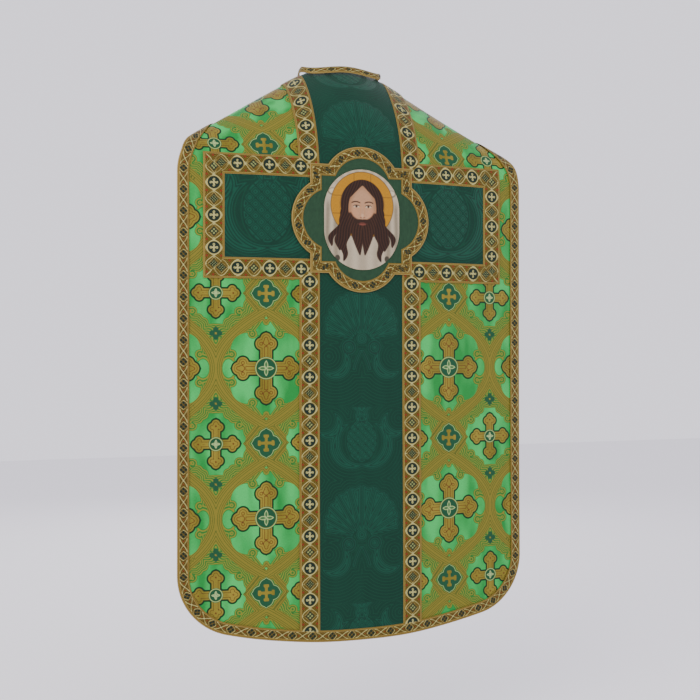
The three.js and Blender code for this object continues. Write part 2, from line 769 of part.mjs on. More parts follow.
// A square with a round lobe on each side, drawn in by "inset": x across, z from its middle.
function medallionOutline(inset) {
  const half = MEDALLION_SQUARE_HALF - inset;
  const radius = MEDALLION_LOBE_RADIUS - inset;
  const centre = MEDALLION_REACH - MEDALLION_LOBE_RADIUS;
  const opening = Math.acos((half - centre) / radius);
  const LOBE_STEPS = 8;
  const points = [];
  for (let side = 0; side < 4; side += 1) {
    const turn = (side * Math.PI) / 2;
    const place = (x, z) => [x * Math.cos(turn) - z * Math.sin(turn),
      x * Math.sin(turn) + z * Math.cos(turn)];
    points.push(place(half, -half));
    for (let k = 0; k <= LOBE_STEPS; k += 1) {
      const angle = THREE.MathUtils.lerp(-opening, opening, k / LOBE_STEPS);
      points.push(place(centre + radius * Math.cos(angle), radius * Math.sin(angle)));
    }
  }
  points.push(points[0]);
  return points.map(([x, z]) => [x, z - CROSSBAR_CENTRE_DROP]);
}

function fanTiles(outline, centre) {
  const tiles = [];
  for (let k = 0; k < outline.length - 1; k += 1) {
    tiles.push(...backTiles([centre, outline[k], outline[k + 1]]));
  }
  return tiles;
}

function medallionGalloonTiles() {
  const outer = medallionOutline(0);
  const inner = medallionOutline(NARROW_GALLOON);
  return tilesAlong(outer, inner).flatMap((tile) => backTiles(tile));
}

// The veil: upright sides and half-round ends.
function pictureOutline() {
  const endRise = PICTURE_HALF_HEIGHT - PICTURE_SIDE_HALF;
  const points = [];
  const STEPS = 12;
  for (const [middle, start] of [[PICTURE_SIDE_HALF, 0], [-PICTURE_SIDE_HALF, Math.PI]]) {
    for (let k = 0; k <= STEPS; k += 1) {
      const angle = start + (k / STEPS) * Math.PI;
      points.push([PICTURE_HALF_WIDTH * Math.cos(angle), middle + endRise * Math.sin(angle)]);
    }
  }
  points.push(points[0]);
  return points.map(([x, z]) => [x, z - CROSSBAR_CENTRE_DROP]);
}

// ---- Waist ties ---------------------------------------------------------------------

function tieTiles() {
  const middle = BACK_HALF_WIDTH - TIE_INSET;
  const [left, right] = [middle - TIE_WIDTH / 2, middle + TIE_WIDTH / 2];
  const [top, bottom] = [-TIE_TOP_DROP, -TIE_TOP_DROP - TIE_LENGTH];
  return backTiles([[left, bottom], [right, bottom], [right, top], [left, top]]);
}

// ---- The assembly -------------------------------------------------------------------

const CLOTH = { metalness: 0, roughness: 0.8 };
const GOLD_THREAD = { metalness: 0.3, roughness: 0.5 };
const GREEN_BROCADE = { color: '#5c9a45', ...CLOTH, roughness: 0.5 };
const GREEN_DAMASK = { color: '#0d5644', ...CLOTH, roughness: 0.5 };
const WIDE_GOLD = { color: '#9a7a33', ...GOLD_THREAD };
const NARROW_GOLD = { color: '#8d6f30', ...GOLD_THREAD };
const LINING_GREEN = { color: '#1f5a3c', ...CLOTH };
const CANVAS = { color: '#cfc8b4', ...CLOTH };
const MEDALLION_GREEN = { color: '#35553f', ...CLOTH };
const VEIL_LINEN = { color: '#d9d2bf', ...CLOTH };
const TAPE = { color: '#1f5a3c', ...CLOTH };

const chasuble = new THREE.Group();

function add(name, geometry, finish) {
  const mesh = new THREE.Mesh(geometry, new THREE.MeshStandardMaterial(finish));
  mesh.name = name;
  chasuble.add(mesh);
}

// A piece on the wearer's right, and the same piece turned over for the left.
function addPair(name, tiles, layer, finish) {
  add(`${name}_right`, sheet(tiles, layer), finish);
  add(`${name}_left`, sheet(mirrored(tiles), layer), finish);
}

add('back_lining', sheet(backClothTiles(BACK_HALF_WIDTH), LINING), LINING_GREEN);
add('back_interlining', sheet(backClothTiles(BACK_HALF_WIDTH), INTERLINING), CANVAS);
add('back_brocade', sheet(backClothTiles(BACK_HALF_WIDTH), BROCADE), GREEN_BROCADE);
add('column_damask', sheet(backClothTiles(COLUMN_HALF + CLOTH_UNDER_GALLOON), DAMASK),
  GREEN_DAMASK);
addPair('crossbar_damask', armDamaskTiles(), DAMASK, GREEN_DAMASK);

addPair('column_galloon_upper', columnUpperTiles(), TRIM, WIDE_GOLD);
addPair('column_galloon_lower', columnLowerTiles(), TRIM, WIDE_GOLD);
addPair('crossbar_galloon_top', armTopTiles(), TRIM, WIDE_GOLD);
addPair('crossbar_galloon_end', armEndTiles(), TRIM, WIDE_GOLD);
addPair('crossbar_galloon_bottom', armBottomTiles(), TRIM, WIDE_GOLD);
add('back_border_galloon', sheet(backBorderTiles(), TRIM), NARROW_GOLD);
add('neck_galloon', neckGalloon(), NARROW_GOLD);

const MEDALLION_MIDDLE = [0, -CROSSBAR_CENTRE_DROP];
const GROUND_INSET = NARROW_GALLOON / 2;
add('medallion_ground', sheet(fanTiles(medallionOutline(GROUND_INSET), MEDALLION_MIDDLE),
  MEDALLION), MEDALLION_GREEN);
add('medallion_picture', sheet(fanTiles(pictureOutline(), MEDALLION_MIDDLE), MEDALLION_TOP),
  VEIL_LINEN);
add('medallion_galloon', sheet(medallionGalloonTiles(), MEDALLION_TOP), NARROW_GOLD);

add('front_lining', sheet(frontClothTiles(FRONT_HEM_HALF), LINING), LINING_GREEN);
add('front_interlining', sheet(frontClothTiles(FRONT_HEM_HALF), INTERLINING), CANVAS);
add('front_brocade', sheet(frontClothTiles(FRONT_HEM_HALF), BROCADE), GREEN_BROCADE);
add('front_column_damask', sheet(frontClothTiles(COLUMN_HALF + CLOTH_UNDER_GALLOON), DAMASK),
  GREEN_DAMASK);
addPair('front_column_galloon', frontColumnGalloonTiles(), TRIM, WIDE_GOLD);
add('front_border_galloon', sheet(frontBorderTiles(), TRIM), NARROW_GOLD);

addPair('tie', tieTiles(), TIE, TAPE);

export default chasuble;
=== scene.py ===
import bpy
import numpy as np
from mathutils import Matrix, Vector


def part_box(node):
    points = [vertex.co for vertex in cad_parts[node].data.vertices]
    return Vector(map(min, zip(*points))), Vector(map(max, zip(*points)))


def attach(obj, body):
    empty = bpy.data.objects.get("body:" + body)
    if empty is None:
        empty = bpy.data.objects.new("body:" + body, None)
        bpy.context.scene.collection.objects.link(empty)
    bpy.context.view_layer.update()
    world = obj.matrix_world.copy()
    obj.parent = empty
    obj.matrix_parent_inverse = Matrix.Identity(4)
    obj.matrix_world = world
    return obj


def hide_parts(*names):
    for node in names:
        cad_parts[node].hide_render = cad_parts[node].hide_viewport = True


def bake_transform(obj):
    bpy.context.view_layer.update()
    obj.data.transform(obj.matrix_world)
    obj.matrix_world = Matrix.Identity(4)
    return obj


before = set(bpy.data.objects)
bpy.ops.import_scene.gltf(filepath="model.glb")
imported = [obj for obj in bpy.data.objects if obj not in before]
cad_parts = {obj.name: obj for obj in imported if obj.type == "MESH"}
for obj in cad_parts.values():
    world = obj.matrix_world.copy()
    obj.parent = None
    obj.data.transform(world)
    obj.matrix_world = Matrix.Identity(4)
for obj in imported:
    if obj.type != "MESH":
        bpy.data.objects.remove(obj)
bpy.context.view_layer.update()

# ---- The lining ------------------------------------------------------------------------
# A dull green satin that hangs next to the wearer.  It is cut to the full shape of the back,
# goes over both shoulders and ends at a seam across the chest, where the front's lining joins
# it.  It sets the hanging shape that every other cloth is laid on.

MM = 0.001

back_low, back_high = (np.array(corner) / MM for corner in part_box("back_lining"))
front_low, front_high = (np.array(corner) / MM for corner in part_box("front_lining"))
BACK_HALF_WIDTH = back_high[0]
BACK_DROP = -back_low[2]
FRONT_DROP = -front_low[2]
SEAM_DROP = -front_high[2]
FRONT_HEM_HALF = front_high[0]

BACK_CORNER_RADIUS = 115
HEM_ANGLE = np.radians(12.5)
SHOULDER_CORNER_RADIUS = 110
SHOULDER_TIP_HALF = BACK_HALF_WIDTH - 32
FRONT_TOP_HALF = 190
FRONT_CORNER_RADIUS = 75
FRONT_WAIST_DROP = 360
FRONT_SWING = 45
NECK_HALF_WIDTH = 80
NECK_BACK_CUT = 55
NECK_FRONT_CUT = 300
NECK_EDGE_UNDER_TRIM = 12

SHOULDER_SLOPE = 0.68
NECK_ROUNDING = 60
NECK_POINT_HALF = 73
RIDGE_SETBACK, RIDGE_SETBACK_AT = 75, 300
BACK_DEPTH, BACK_BOW = 130, 23
FRONT_DEPTH, FRONT_BOW, FRONT_BOW_AT = 88, 28, 200
FRONT_FLARE, FLARE_FROM = 0.09, 300
RIDGE_PITCH = np.radians(35)
RIDGE_ROUNDING = 0.04

# Heights of each cloth above the inner face of the lining: inner face, outer face.
LINING = (0.0, 0.8)
INTERLINING = (1.3, 2.5)
BROCADE = (3.0, 3.8)
DAMASK = (4.3, 5.1)
TRIM = (5.6, 6.6)
MEDALLION = (7.1, 7.9)
MEDALLION_TOP = (8.4, 9.4)
NECK_TRIM = (10.1, 11.1)
TIE = (-3.4, -2.4)

bend_share = (np.arange(200) + 0.5) / 200
bend_angle = (RIDGE_PITCH * (1 - np.exp(-bend_share / RIDGE_ROUNDING))
              + (np.pi / 2 - RIDGE_PITCH) * bend_share)
bend_at = np.linspace(0, 1, 201)
bend_out = np.concatenate([[0], np.cumsum(np.cos(bend_angle))]) / 200
bend_down = np.concatenate([[0], np.cumsum(np.sin(bend_angle))]) / 200


def ridge_height(x):
    """A hyperbola: level at the neck, then falling at the shoulder slope."""
    level = np.hypot(NECK_POINT_HALF, NECK_ROUNDING)
    return SHOULDER_SLOPE * (level - np.hypot(x, NECK_ROUNDING))


def ridge_forward(x):
    """The shoulder line curves back with the square of the distance from the neck."""
    return -RIDGE_SETBACK * (x / RIDGE_SETBACK_AT) ** 2


def back_depth(x):
    """From the shoulder line back to the hanging panel, which is bowed round the body."""
    return ridge_forward(x) + BACK_DEPTH - BACK_BOW * (x / BACK_HALF_WIDTH) ** 2


def front_depth(x):
    """From the shoulder line forward to the front panel, bowed the other way."""
    return FRONT_DEPTH - FRONT_BOW * (x / FRONT_BOW_AT) ** 2 - ridge_forward(x)


def surface(x, s):
    """A place (x, s) of the cloth: x across, s along it from the shoulder line, plus behind.
    Within the bend the cloth follows the table of the shoulder's curve, scaled to the depth
    there; beyond it the cloth falls straight, and in front it flares out evenly."""
    x, s = np.broadcast_arrays(np.asarray(x, float), np.asarray(s, float))
    depth = np.maximum(np.where(s >= 0, back_depth(x), front_depth(x)), 1)
    whole = depth / bend_out[-1]
    share = np.clip(np.abs(s) / whole, 0, 1)
    out = whole * np.interp(share, bend_at, bend_out)
    down = whole * np.interp(share, bend_at, bend_down) + np.maximum(np.abs(s) - whole, 0)
    flare = np.where(s < 0, FRONT_FLARE * np.maximum(-s - FLARE_FROM, 0), 0)
    y = ridge_forward(x) + np.where(s >= 0, -out, out) + flare
    return np.stack([x, y, ridge_height(x) - down], -1)


def smooth(value, low, high):
    """0 below low, 1 above high and an even S between them."""
    t = np.clip((value - low) / (high - low), 0, 1)
    return t * t * (3 - 2 * t)


def sway(x, s):
    """How far the hanging cloth stands out of its true surface: shallow upright waves that
    grow towards the hem, and a slow drift along the length.  Their middle lies outwards, so
    that the waves keep clear of the ties."""
    hang = smooth(np.abs(s), 240, 1000)
    waves = 1.5 * np.sin(x / 47 + 0.9 * np.sin(s / 260)) + 0.9 * np.sin(x / 26 + s / 330 + 1.1)
    return hang * (2.4 + waves + 1.2 * np.sin(s / 150 + x / 210))


def directions(x, s):
    """The surface's directions across and along, over one millimetre of the flat cloth."""
    probe = 0.5
    return (surface(x + probe, s) - surface(x - probe, s),
            surface(x, s + probe) - surface(x, s - probe))


def hanging(x, s, level):
    """The point at a level above the cloth's inner face, measured square to the surface."""
    across, along = directions(x, s)
    normal = np.cross(along, across)
    normal /= np.linalg.norm(normal, axis=-1, keepdims=True)
    return surface(x, s) + normal * (np.asarray(level) + sway(x, s))[..., None]


def back_level(x):
    """Length at which the back would reach height 0 if it hung straight."""
    return ridge_height(x) + back_depth(x) / bend_out[-1] * (1 - bend_down[-1])


def front_level(x):
    return ridge_height(x) + front_depth(x) / bend_out[-1] * (1 - bend_down[-1])


CORNER_CENTRE_X = BACK_HALF_WIDTH - BACK_CORNER_RADIUS
HEM_END_X = CORNER_CENTRE_X + BACK_CORNER_RADIUS * np.sin(HEM_ANGLE)
HEM_RISE = HEM_END_X * np.tan(HEM_ANGLE) / 2
CORNER_CENTRE_Z = -BACK_DROP + HEM_RISE + BACK_CORNER_RADIUS * np.cos(HEM_ANGLE)
SHOULDER_CENTRE_X = BACK_HALF_WIDTH - SHOULDER_CORNER_RADIUS


def hem_length(x):
    """The hem: a shallow parabola in the middle and an arc at each corner."""
    across = np.abs(x)
    reach = np.clip(across - CORNER_CENTRE_X, 0, BACK_CORNER_RADIUS)
    arc = CORNER_CENTRE_Z - np.sqrt(BACK_CORNER_RADIUS ** 2 - reach ** 2)
    middle = -BACK_DROP + HEM_RISE * (across / HEM_END_X) ** 2
    return back_level(x) - np.where(across <= HEM_END_X, middle, arc)


def shoulder_rise(x):
    """Height of the shoulder corner's arc above its centre."""
    reach = np.abs(x) - SHOULDER_CENTRE_X
    return np.sqrt(np.maximum(SHOULDER_CORNER_RADIUS ** 2 - reach ** 2, 0))


SHOULDER_CENTRE_Z = back_level(SHOULDER_TIP_HALF) - shoulder_rise(SHOULDER_TIP_HALF)


def upper_edge(x):
    """The edge from the chest seam, along the quarter ellipse of the armhole to the shoulder
    tip on the ridge, and down the arc of the shoulder corner."""
    across = np.abs(x)
    seam = -SEAM_DROP - front_level(np.minimum(across, FRONT_TOP_HALF))
    share = np.clip((SHOULDER_TIP_HALF - across) / (SHOULDER_TIP_HALF - FRONT_TOP_HALF), 0, 1)
    depth = SEAM_DROP + front_level(FRONT_TOP_HALF) - FRONT_SWING
    swing = -(FRONT_SWING * share + depth * (1 - np.sqrt(1 - share ** 2)))
    arc = back_level(across) - SHOULDER_CENTRE_Z - shoulder_rise(across)
    edge = np.where(across <= SHOULDER_TIP_HALF, swing, np.maximum(arc, 0))
    return np.where(across <= FRONT_TOP_HALF, seam, edge)


def neck_back(x, inset):
    """The back of the neck line is half an ellipse."""
    share = np.clip(np.abs(x) / (NECK_HALF_WIDTH - inset), 0, 1)
    return (NECK_BACK_CUT - inset) * np.sqrt(1 - share ** 2)


def neck_front(x, inset):
    """The front of the neck line is a superellipse drawn to a point."""
    share = np.clip(np.abs(x) / (NECK_HALF_WIDTH - inset), 0, 1)
    return -(NECK_FRONT_CUT - inset) * (1 - share ** (1 / 0.83)) ** (1 / 1.6)


def neck_half(s, inset):
    """The same line as a half width at a length from the ridge."""
    behind = np.clip(np.maximum(s, 0) / (NECK_BACK_CUT - inset), 0, 1)
    before = np.clip(np.maximum(-s, 0) / (NECK_FRONT_CUT - inset), 0, 1)
    round_back = np.sqrt(1 - behind ** 2)
    return (NECK_HALF_WIDTH - inset) * np.where(s >= 0, round_back, (1 - before ** 1.6) ** 0.83)


def front_half(drop):
    """Half the front's width: even to the waist, widening to the hem, with round corners."""
    side = FRONT_TOP_HALF + (FRONT_HEM_HALF - FRONT_TOP_HALF) * smooth(
        drop, FRONT_WAIST_DROP, FRONT_DROP)
    low = drop - (FRONT_DROP - FRONT_CORNER_RADIUS)
    reach = np.clip(low, 0, FRONT_CORNER_RADIUS)
    cut = FRONT_CORNER_RADIUS - np.sqrt(FRONT_CORNER_RADIUS ** 2 - reach ** 2)
    return np.where(low > 0, FRONT_HEM_HALF - cut, side)


def grid(x, s, level, under, uv=None, marks=None):
    """One grid of a cloth: places (x, s), the outer level, the level that its edge turns down
    to, its own pattern coordinates in millimetres and its named pattern distances."""
    x, s = np.broadcast_arrays(np.asarray(x, float), np.asarray(s, float))
    uv = np.stack([x, s], -1) if uv is None else uv
    return {"points": hanging(x, s, np.broadcast_to(level, x.shape)), "uv": uv,
            "under": hanging(x, s, np.broadcast_to(under, x.shape)), "marks": marks or {}}


def sewn(name, grids):
    """A mesh of several grids joined where their points meet, with its open edges turned down
    to their under points.  Returns the object and the area of its cloth in square metres."""
    points = np.concatenate([g["points"].reshape(-1, 3) for g in grids])
    under = np.concatenate([g["under"].reshape(-1, 3) for g in grids])
    uv = np.concatenate([g["uv"].reshape(-1, 2) for g in grids])
    _, first, same = np.unique(np.round(points / 0.02).astype(np.int64), axis=0,
                               return_index=True, return_inverse=True)
    same = same.reshape(-1)
    faces, start = [], 0
    for g in grids:
        rows, columns = g["points"].shape[:2]
        ids = same[start:start + rows * columns].reshape(rows, columns)
        corners = [ids[:-1, :-1], ids[1:, :-1], ids[1:, 1:], ids[:-1, 1:]]
        faces.append(np.stack([c.ravel() for c in corners], 1))
        start += rows * columns
    faces = np.concatenate(faces)
    apart = faces != np.roll(faces, -1, axis=1)
    quads = faces[apart.all(axis=1)]
    thin = apart.sum(axis=1) == 3
    triangles = faces[thin][apart[thin]].reshape(-1, 3)
    points, under, uv = points[first], under[first], uv[first]
    a, b, c, d = (points[quads[:, k]] for k in range(4))
    area = np.linalg.norm(np.cross(c - a, d - b), axis=1).sum() / 2

    edges = np.concatenate([np.stack([quads[:, k], quads[:, (k + 1) % 4]], 1) for k in range(4)]
                           + [np.stack([triangles[:, k], triangles[:, (k + 1) % 3]], 1)
                              for k in range(3)])
    _, index, count = np.unique(np.sort(edges, axis=1), axis=0, return_index=True,
                                return_counts=True)
    rim = edges[index[count == 1]]
    rim_points, place = np.unique(rim, return_inverse=True)
    place = place.reshape(-1, 2) + len(points)
    skirt = np.stack([rim[:, 1], rim[:, 0], place[:, 0], place[:, 1]], 1)
    all_points = np.concatenate([points, under[rim_points]])
    mesh = bpy.data.meshes.new(name)
    mesh.from_pydata((all_points * MM).tolist(), [],
                     quads.tolist() + triangles.tolist() + skirt.tolist())
    corner_vertex = np.empty(len(mesh.loops), np.int32)
    mesh.loops.foreach_get("vertex_index", corner_vertex)
    all_uv = np.concatenate([uv, uv[rim_points]]) * MM
    mesh.uv_layers.new(name="cloth").data.foreach_set(
        "uv", all_uv[corner_vertex].astype(np.float32).ravel())
    for mark in grids[0]["marks"]:
        value = np.concatenate([g["marks"][mark].reshape(g["points"].size // 3, -1)
                                for g in grids])[first]
        value = np.concatenate([value, value[rim_points]])
        if value.shape[1] == 1:
            mesh.attributes.new(mark, "FLOAT", "POINT").data.foreach_set(
                "value", value.astype(np.float32).ravel())
        else:
            value = np.concatenate([value, np.ones((len(value), 1))], axis=1)
            mesh.attributes.new(mark, "FLOAT_COLOR", "POINT").data.foreach_set(
                "color", value.astype(np.float32).ravel())
    mesh.shade_smooth()
    mesh.set_sharp_from_angle(angle=np.radians(50))
    made = bpy.data.objects.new(name, mesh)
    bpy.context.collection.objects.link(made)
    return made, area * MM * MM


def between(low, high, count):
    """Rows from low to high, evenly spaced for each column."""
    share = np.linspace(0, 1, count)[:, None]
    return low + (high - low) * share


def body_grids(columns, halves, row_counts, layer, marks=None, margin=0.0):
    """The full cloth of the back: two grids behind and before the ridge for each half, with
    the neck hole between them.  A layer is the level its edge turns down to and its own level;
    the outline is drawn in by a margin."""
    front_rows, back_rows = row_counts
    inset = NECK_EDGE_UNDER_TRIM
    grids = []
    for side in halves:
        x = columns * side
        ends = np.abs(x) * (BACK_HALF_WIDTH - margin) / BACK_HALF_WIDTH * side
        upper = upper_edge(x)
        inside = np.abs(x) < NECK_HALF_WIDTH - inset
        front_end = np.where(inside, neck_front(x, inset), 0)
        back_start = np.where(inside, neck_back(x, inset), 0)
        front = between(np.minimum(upper, 0) + margin * (upper < 0), front_end, front_rows)
        back = between(np.maximum(upper + margin, back_start), hem_length(x) - margin, back_rows)
        for s in (front, back):
            place, s = np.broadcast_to(ends, s.shape)[:, ::side], s[:, ::side]
            z = hanging(place, s, 0.0)[..., 2]
            grids.append(grid(place, s, layer[1], layer[0], np.stack([place, z], -1),
                              marks(place, back_level(place) - s) if marks else None))
    return grids


def front_grids(steps, rows, layer, widest=None, marks=None, margin=0.0):
    """The front panel from its seam to its hem: rows that reach to the edge at each drop."""
    turn = np.linspace(0, np.pi / 2, 14)
    straight = np.linspace(SEAM_DROP, FRONT_DROP - FRONT_CORNER_RADIUS, rows)
    round_part = FRONT_DROP - FRONT_CORNER_RADIUS * (1 - np.sin(turn[1:]))
    drop = np.concatenate([straight, round_part])[:, None]
    half = front_half(drop) - margin
    half = half if widest is None else np.minimum(half, widest)
    x = half * steps[::-1]
    s = -(drop - margin * (drop > FRONT_DROP - 1)) - front_level(x)
    return [grid(x, s, layer[1], layer[0], np.stack([x, 0 * x - drop], -1),
                 marks(x, front_level(x) + s) if marks else None)]


def hung(name, grids, material, slot, nodes, width, length=None, bodies=("back",),
         rests_on=(), faces=1, ease=1.001):
    """Sew a cloth, give it its material, hide the parts that it stands for and attach it to what moves
    it.
    A length that is not given follows from the area, with some ease.  The area stated is the drawn
    one, or width times length where that is smaller."""
    piece, area = sewn(name, grids)
    piece.data.materials.append(material)
    area = area / faces
    length = area / width * ease if length is None else length
    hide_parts(*nodes)
    if len(bodies) == 2:
        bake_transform(piece)
    else:
        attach(piece, bodies[0])


def colour(hex_code):
    """An sRGB hex value as a linear colour."""
    value = np.array([int(hex_code[k:k + 2], 16) for k in (1, 3, 5)]) / 255
    linear = np.where(value <= 0.04045, value / 12.92, ((value + 0.055) / 1.055) ** 2.4)
    return (*linear.tolist(), 1.0)


def fed(tree, made, inputs):
    """Feed a node's inputs: each is a value, a hex colour or another node's output."""
    for key, value in inputs.items():
        if isinstance(value, bpy.types.NodeSocket):
            tree.links.new(value, made.inputs[key])
        else:
            made.inputs[key].default_value = colour(value) if isinstance(value, str) else value
    return made


def node(tree, kind, inputs=None, **settings):
    """Add a node with its settings and inputs."""
    made = tree.nodes.new("ShaderNode" + kind)
    for key, value in settings.items():
        setattr(made, key, value)
    return fed(tree, made, inputs or {})


def mixed(tree, share, first, second, **how):
    """One colour passing into another by a share."""
    return node(tree, "Mix", {0: share, 6: first, 7: second}, data_type="RGBA", **how).outputs[2]


def ranged(tree, value, low, high, start=0.0, end=1.0):
    """A value between two limits, carried over to another range."""
    return node(tree, "MapRange", {"Value": value, "From Min": low, "From Max": high,
                                   "To Min": start, "To Max": end}).outputs[0]


def worked(tree, operation, *values):
    """The result of one step of arithmetic."""
    return node(tree, "Math", dict(enumerate(values)), operation=operation).outputs[0]


def clouds(tree, scale, detail):
    """A slow change from place to place."""
    return node(tree, "TexNoise", {"Scale": scale, "Detail": detail}).outputs[0]


def overlaid(tree, ground, layers):
    """A colour with others laid over it: each layer is a distance in millimetres, the value
    where it starts, how soft its edge is, and its colour."""
    for distance, start, soft, tint in layers:
        ground = mixed(tree, ranged(tree, distance, start - soft, start + soft), ground, tint)
    return ground


def marks_of(tree, *names):
    """The pattern distances that a piece carries on its mesh."""
    return [node(tree, "Attribute", attribute_name=name).outputs["Fac"] for name in names]


def on_cloth(tree, across, along, turned=0.0):
    """Places on the flat cloth, scaled and turned."""
    uv = node(tree, "UVMap", uv_map="cloth").outputs[0]
    return node(tree, "Mapping", {"Vector": uv, "Scale": (across, along, 1),
                                  "Rotation": (0, 0, turned)}).outputs[0]


def threads(tree, across_mm, along_mm):
    """The cloth's threads as a height from 0 to 1: short floats of one thread's width.  They
    are drawn a few times coarser than the real 0.2 mm thread, so that they show."""
    place = on_cloth(tree, 1 / (across_mm * MM), 1 / (along_mm * MM))
    return node(tree, "TexNoise", {"Vector": place, "Scale": 1.0, "Detail": 2.0,
                                   "Roughness": 0.6}).outputs[0]


def shaded(tree, base, floats, dark, light):
    """A colour with painted shade between its threads and painted highlight on their tops."""
    return mixed(tree, 1.0, base, ranged(tree, floats, 0.3, 0.7, dark, light),
                 blend_type="MULTIPLY")


def cloth_material(name):
    """A new material's tree with its principled shader, both ready for links."""
    made = bpy.data.materials.new(name)
    made.use_nodes = True
    shader = made.node_tree.nodes["Principled BSDF"]
    shader.inputs["IOR"].default_value = 1.5
    shader.inputs["Specular IOR Level"].default_value = 0.16
    return made, made.node_tree, shader


def finished(tree, shader, base, height, relief, roughness, sheen=(0.0, 0.5), metallic=0.0):
    """Link a cloth's colour and finish, and the relief of its threads: a share and a depth."""
    bump = node(tree, "Bump", {"Height": height, "Strength": relief[0], "Distance": relief[1]})
    fed(tree, shader, {"Base Color": base, "Normal": bump.outputs[0], "Roughness": roughness,
                       "Metallic": metallic, "Sheen Weight": sheen[0],
                       "Sheen Roughness": sheen[1]})


# Satin weave in rayon: close parallel floats give it a soft long highlight, and a lighter green on the
# tops of the floats is painted highlight.
lining_satin, tree, shader = cloth_material("lining_satin_rayon")
floats = threads(tree, 0.7, 5.0)
tone = mixed(tree, clouds(tree, 9.0, 1.0), "#123C29", "#20563A")
# Painted highlight: a lighter green where the floats stand highest.
float_highlight = mixed(tree, ranged(tree, floats, 0.45, 0.9, 0.0, 0.5), tone, "#286247")
finished(tree, shader, float_highlight, floats, (0.35, 0.0003), 0.42, (0.05, 0.4))

# Flat sizes in metres: width, then length along the cloth.
BACK_CUT = (0.7, 1.495)
FRONT_CUT = (0.5, 0.69)
BOTH = ("back", "front")
NECK_EDGE = NECK_HALF_WIDTH - NECK_EDGE_UNDER_TRIM
corner_turn = np.linspace(0, np.pi / 2, 12)[1:]
corner_columns = SHOULDER_TIP_HALF + (BACK_HALF_WIDTH - SHOULDER_TIP_HALF) * np.sin(corner_turn)
coarse_columns = np.concatenate([np.linspace(0, NECK_EDGE, 12),
                                 np.linspace(NECK_EDGE, SHOULDER_TIP_HALF, 42)[1:],
                                 corner_columns])
coarse_rows = (90, 260)
coarse_steps = np.linspace(-1, 1, 81)


def wrong_way(grids):
    """The same grids seen from the other side, for a cloth that shows its inner face."""
    for g in grids:
        for key in ("points", "under", "uv"):
            g[key] = g[key][:, ::-1]
        g["marks"] = {key: value[:, ::-1] for key, value in g["marks"].items()}
    return grids


hung("back_lining_satin", wrong_way(body_grids(
    coarse_columns, (1, -1), coarse_rows, LINING[::-1], margin=1.0)),
    lining_satin, "lining_satin", ["back_lining"], *BACK_CUT)
hung("front_lining_satin", wrong_way(front_grids(
    coarse_steps, 130, LINING[::-1], margin=1.0)),
    lining_satin, "lining_satin", ["front_lining"], *FRONT_CUT, BOTH)

# ---- The interlining -------------------------------------------------------------------
# Stiff unbleached canvas between the lining and the brocade.  It gives the chasuble its flat
# fall, and is caught in the same edges as they are.

canvas, tree, shader = cloth_material("interlining_linen_canvas")
place = on_cloth(tree, 900, 900)
# The raised squares of the weave are painted lighter and the sunken ones darker: painted light and
# shade.
weave = node(tree, "TexChecker", {"Vector": place, "Scale": 1.0, "Color1": "#CFC6AE",
                                  "Color2": "#B8AF97"})
finished(tree, shader, weave.outputs[0], weave.outputs[1], (0.3, 0.0003), 0.9)

hung("back_interlining_canvas", body_grids(
    coarse_columns, (1, -1), coarse_rows, INTERLINING, margin=2.0),
    canvas, "interlining_canvas", ["back_interlining"], *BACK_CUT)
hung("front_interlining_canvas", front_grids(coarse_steps, 130, INTERLINING, margin=2.0),
     canvas, "interlining_canvas", ["front_interlining"], *FRONT_CUT, BOTH)

# ---- The brocade -----------------------------------------------------------------------
# Bright green satin figured in gold: budded crosses in two sizes, four-lobed frames and
# scrolled bands between them.  One repeat is 186.6 mm wide and 279 mm high, and the cloth is
# cut so that a column of large crosses stands in the middle of each flank.

REPEAT_WIDTH = 186.6
REPEAT_HEIGHT = 279.0
CROSS_ROW = -585.0
OGEE_HALF = 107


def disc(a, b, at, radius):
    """Distance inside a circle: its radius less the distance from its centre."""
    return radius - np.hypot(a - at[0], b - at[1])


def budded_cross(a, b, reach):
    """An equal cross with a three-lobed bud on each arm, for a and b folded to one quarter.
    It is the union of a bar, two side lobes, a middle and a tip, all shares of its reach."""
    along, across = np.maximum(a, b), np.minimum(a, b)
    unit = reach / 64
    bar = np.minimum(11 * unit - across, 46 * unit - along)
    lobe = disc(along, across, (43.5 * unit, 9.5 * unit), 10.5 * unit)
    middle = disc(along, across, (46 * unit, 0), 13 * unit)
    tip = (63.5 * unit - along) * 0.75 - across * 0.62
    tip = np.minimum(tip, 10.5 * unit - across)
    bud_tip = np.minimum(tip, along - 40 * unit)
    round_tip = disc(along, across, (52 * unit, 0), 11 * unit)
    return np.maximum.reduce([bar, lobe, middle, bud_tip, round_tip])


def petals(a, b, length, width):
    """Four pointed petals along the axes: narrow where they meet and at their ends."""
    along, across = np.maximum(a, b), np.minimum(a, b)
    share = np.clip(along / length, 0, 1)
    return np.minimum(width * np.sin(np.pi * share ** 0.8) - across, length - along)


def folded(value, period):
    """Distance from the nearest whole number of periods."""
    return np.abs((value + period / 2) % period - period / 2)


